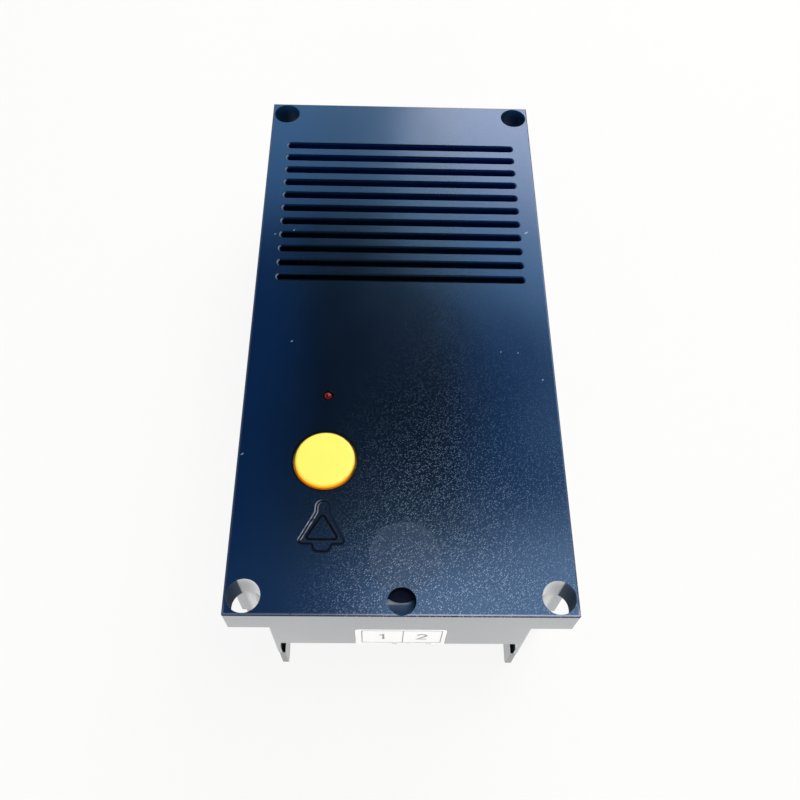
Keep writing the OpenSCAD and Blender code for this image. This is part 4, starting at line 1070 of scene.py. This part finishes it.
def makeCloth(look):
    low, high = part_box("acoustic_cloth")
    form = bmesh.new()
    form.from_mesh(nodes["acoustic_cloth"].data)
    for axis in (0, 1):
        count = int((high[axis] - low[axis]) / look["cell"])
        for i in range(1, count):
            place = low.copy()
            place[axis] += (high[axis] - low[axis]) * i / count
            normal = Vector((1, 0, 0)) if axis == 0 else Vector((0, 1, 0))
            geometry = form.verts[:] + form.edges[:] + form.faces[:]
            bmesh.ops.bisect_plane(form, geom=geometry, plane_co=place, plane_no=normal)
    middle, size = (low + high) / 2, (high - low) / 2
    across, along = look["ripples"]
    for vert in form.verts:
        u, v = (vert.co.x - middle.x) / size.x, (vert.co.y - middle.y) / size.y
        # slack between the pegs, none at the glued edges
        wave = math.sin(across * u + look["rippleStart"]) * math.cos(along * v)
        slack = (1 - u * u) * (1 - v * v) * (look["level"] + look["ripple"] * wave)
        vert.co.z -= look["sag"] * max(slack, 0)
    area = sum(face.calc_area() for face in form.faces if face.normal.z > look["upward"])
    mesh = meshOf("clothSheet", form, 50)
    cloth = addMesh("clothSheet", mesh, finishes["black_cloth"], "housing")
    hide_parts("acoustic_cloth")


makeCloth(clothSheet)


# foam ring under the loudspeaker's rim
foamRing = {"width": 2.2 * mm, "points": 18, "crown": 3.2}


def makeFoamRing(look):
    low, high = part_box("speaker_gasket")
    outer = (high.x - low.x) / 2
    half, rise = look["width"] / 2, (high.z - low.z) / 2
    soft = 2 / look["crown"]  # squarish section with rounded corners
    profile = []
    for i in range(look["points"] + 1):
        angle = 2 * math.pi * i / look["points"]
        across, up = math.cos(angle), math.sin(angle)
        profile.append((outer - half + half * math.copysign(abs(across) ** soft, across),
                        rise * math.copysign(abs(up) ** soft, up)))
    mesh = lathe("foamRing", profile)
    mesh.transform(Matrix.Translation((low + high) / 2))
    ring = addMesh("foamRing", mesh, finishes["soft_rubber"], "housing")
    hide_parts("speaker_gasket")


makeFoamRing(foamRing)
print("cloth and foam ring made")


# return spring under the button
springCoil = {
    "turns": 6,
    "radius": 5.2 * mm,
    "wire": 0.8 * mm,
    "rings": 28,  # to a turn
    "sides": 10,
    "press": 1.5 * mm,
}


def makeSpring(coil):
    low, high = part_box("button_spring")
    middle = (low + high) / 2
    half, sides = coil["wire"] / 2, coil["sides"]
    steps = coil["turns"] * coil["rings"]
    climb = high.z - low.z - coil["wire"]
    form = bmesh.new()
    loops = []
    for i in range(steps + 1):
        angle = 2 * math.pi * i / coil["rings"]
        loop = []
        for j in range(sides):
            around = 2 * math.pi * j / sides
            out = coil["radius"] + half * math.cos(around)
            up = low.z + half + climb * i / steps + half * math.sin(around)
            place = (middle.x + out * math.cos(angle), middle.y + out * math.sin(angle), up)
            loop.append(form.verts.new(place))
        loops.append(loop)
    for near, ahead in zip(loops, loops[1:]):
        for j in range(sides):
            form.faces.new((near[j - 1], near[j], ahead[j], ahead[j - 1]))
    form.faces.new(loops[0])
    form.faces.new(loops[-1])
    bmesh.ops.recalc_face_normals(form, faces=form.faces)
    mesh = meshOf("springCoil", form, 50)
    spring = addMesh("springCoil", mesh, finishes["spring_steel"], "housing")
    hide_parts("button_spring")
    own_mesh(spring)


makeSpring(springCoil)
print("spring made")
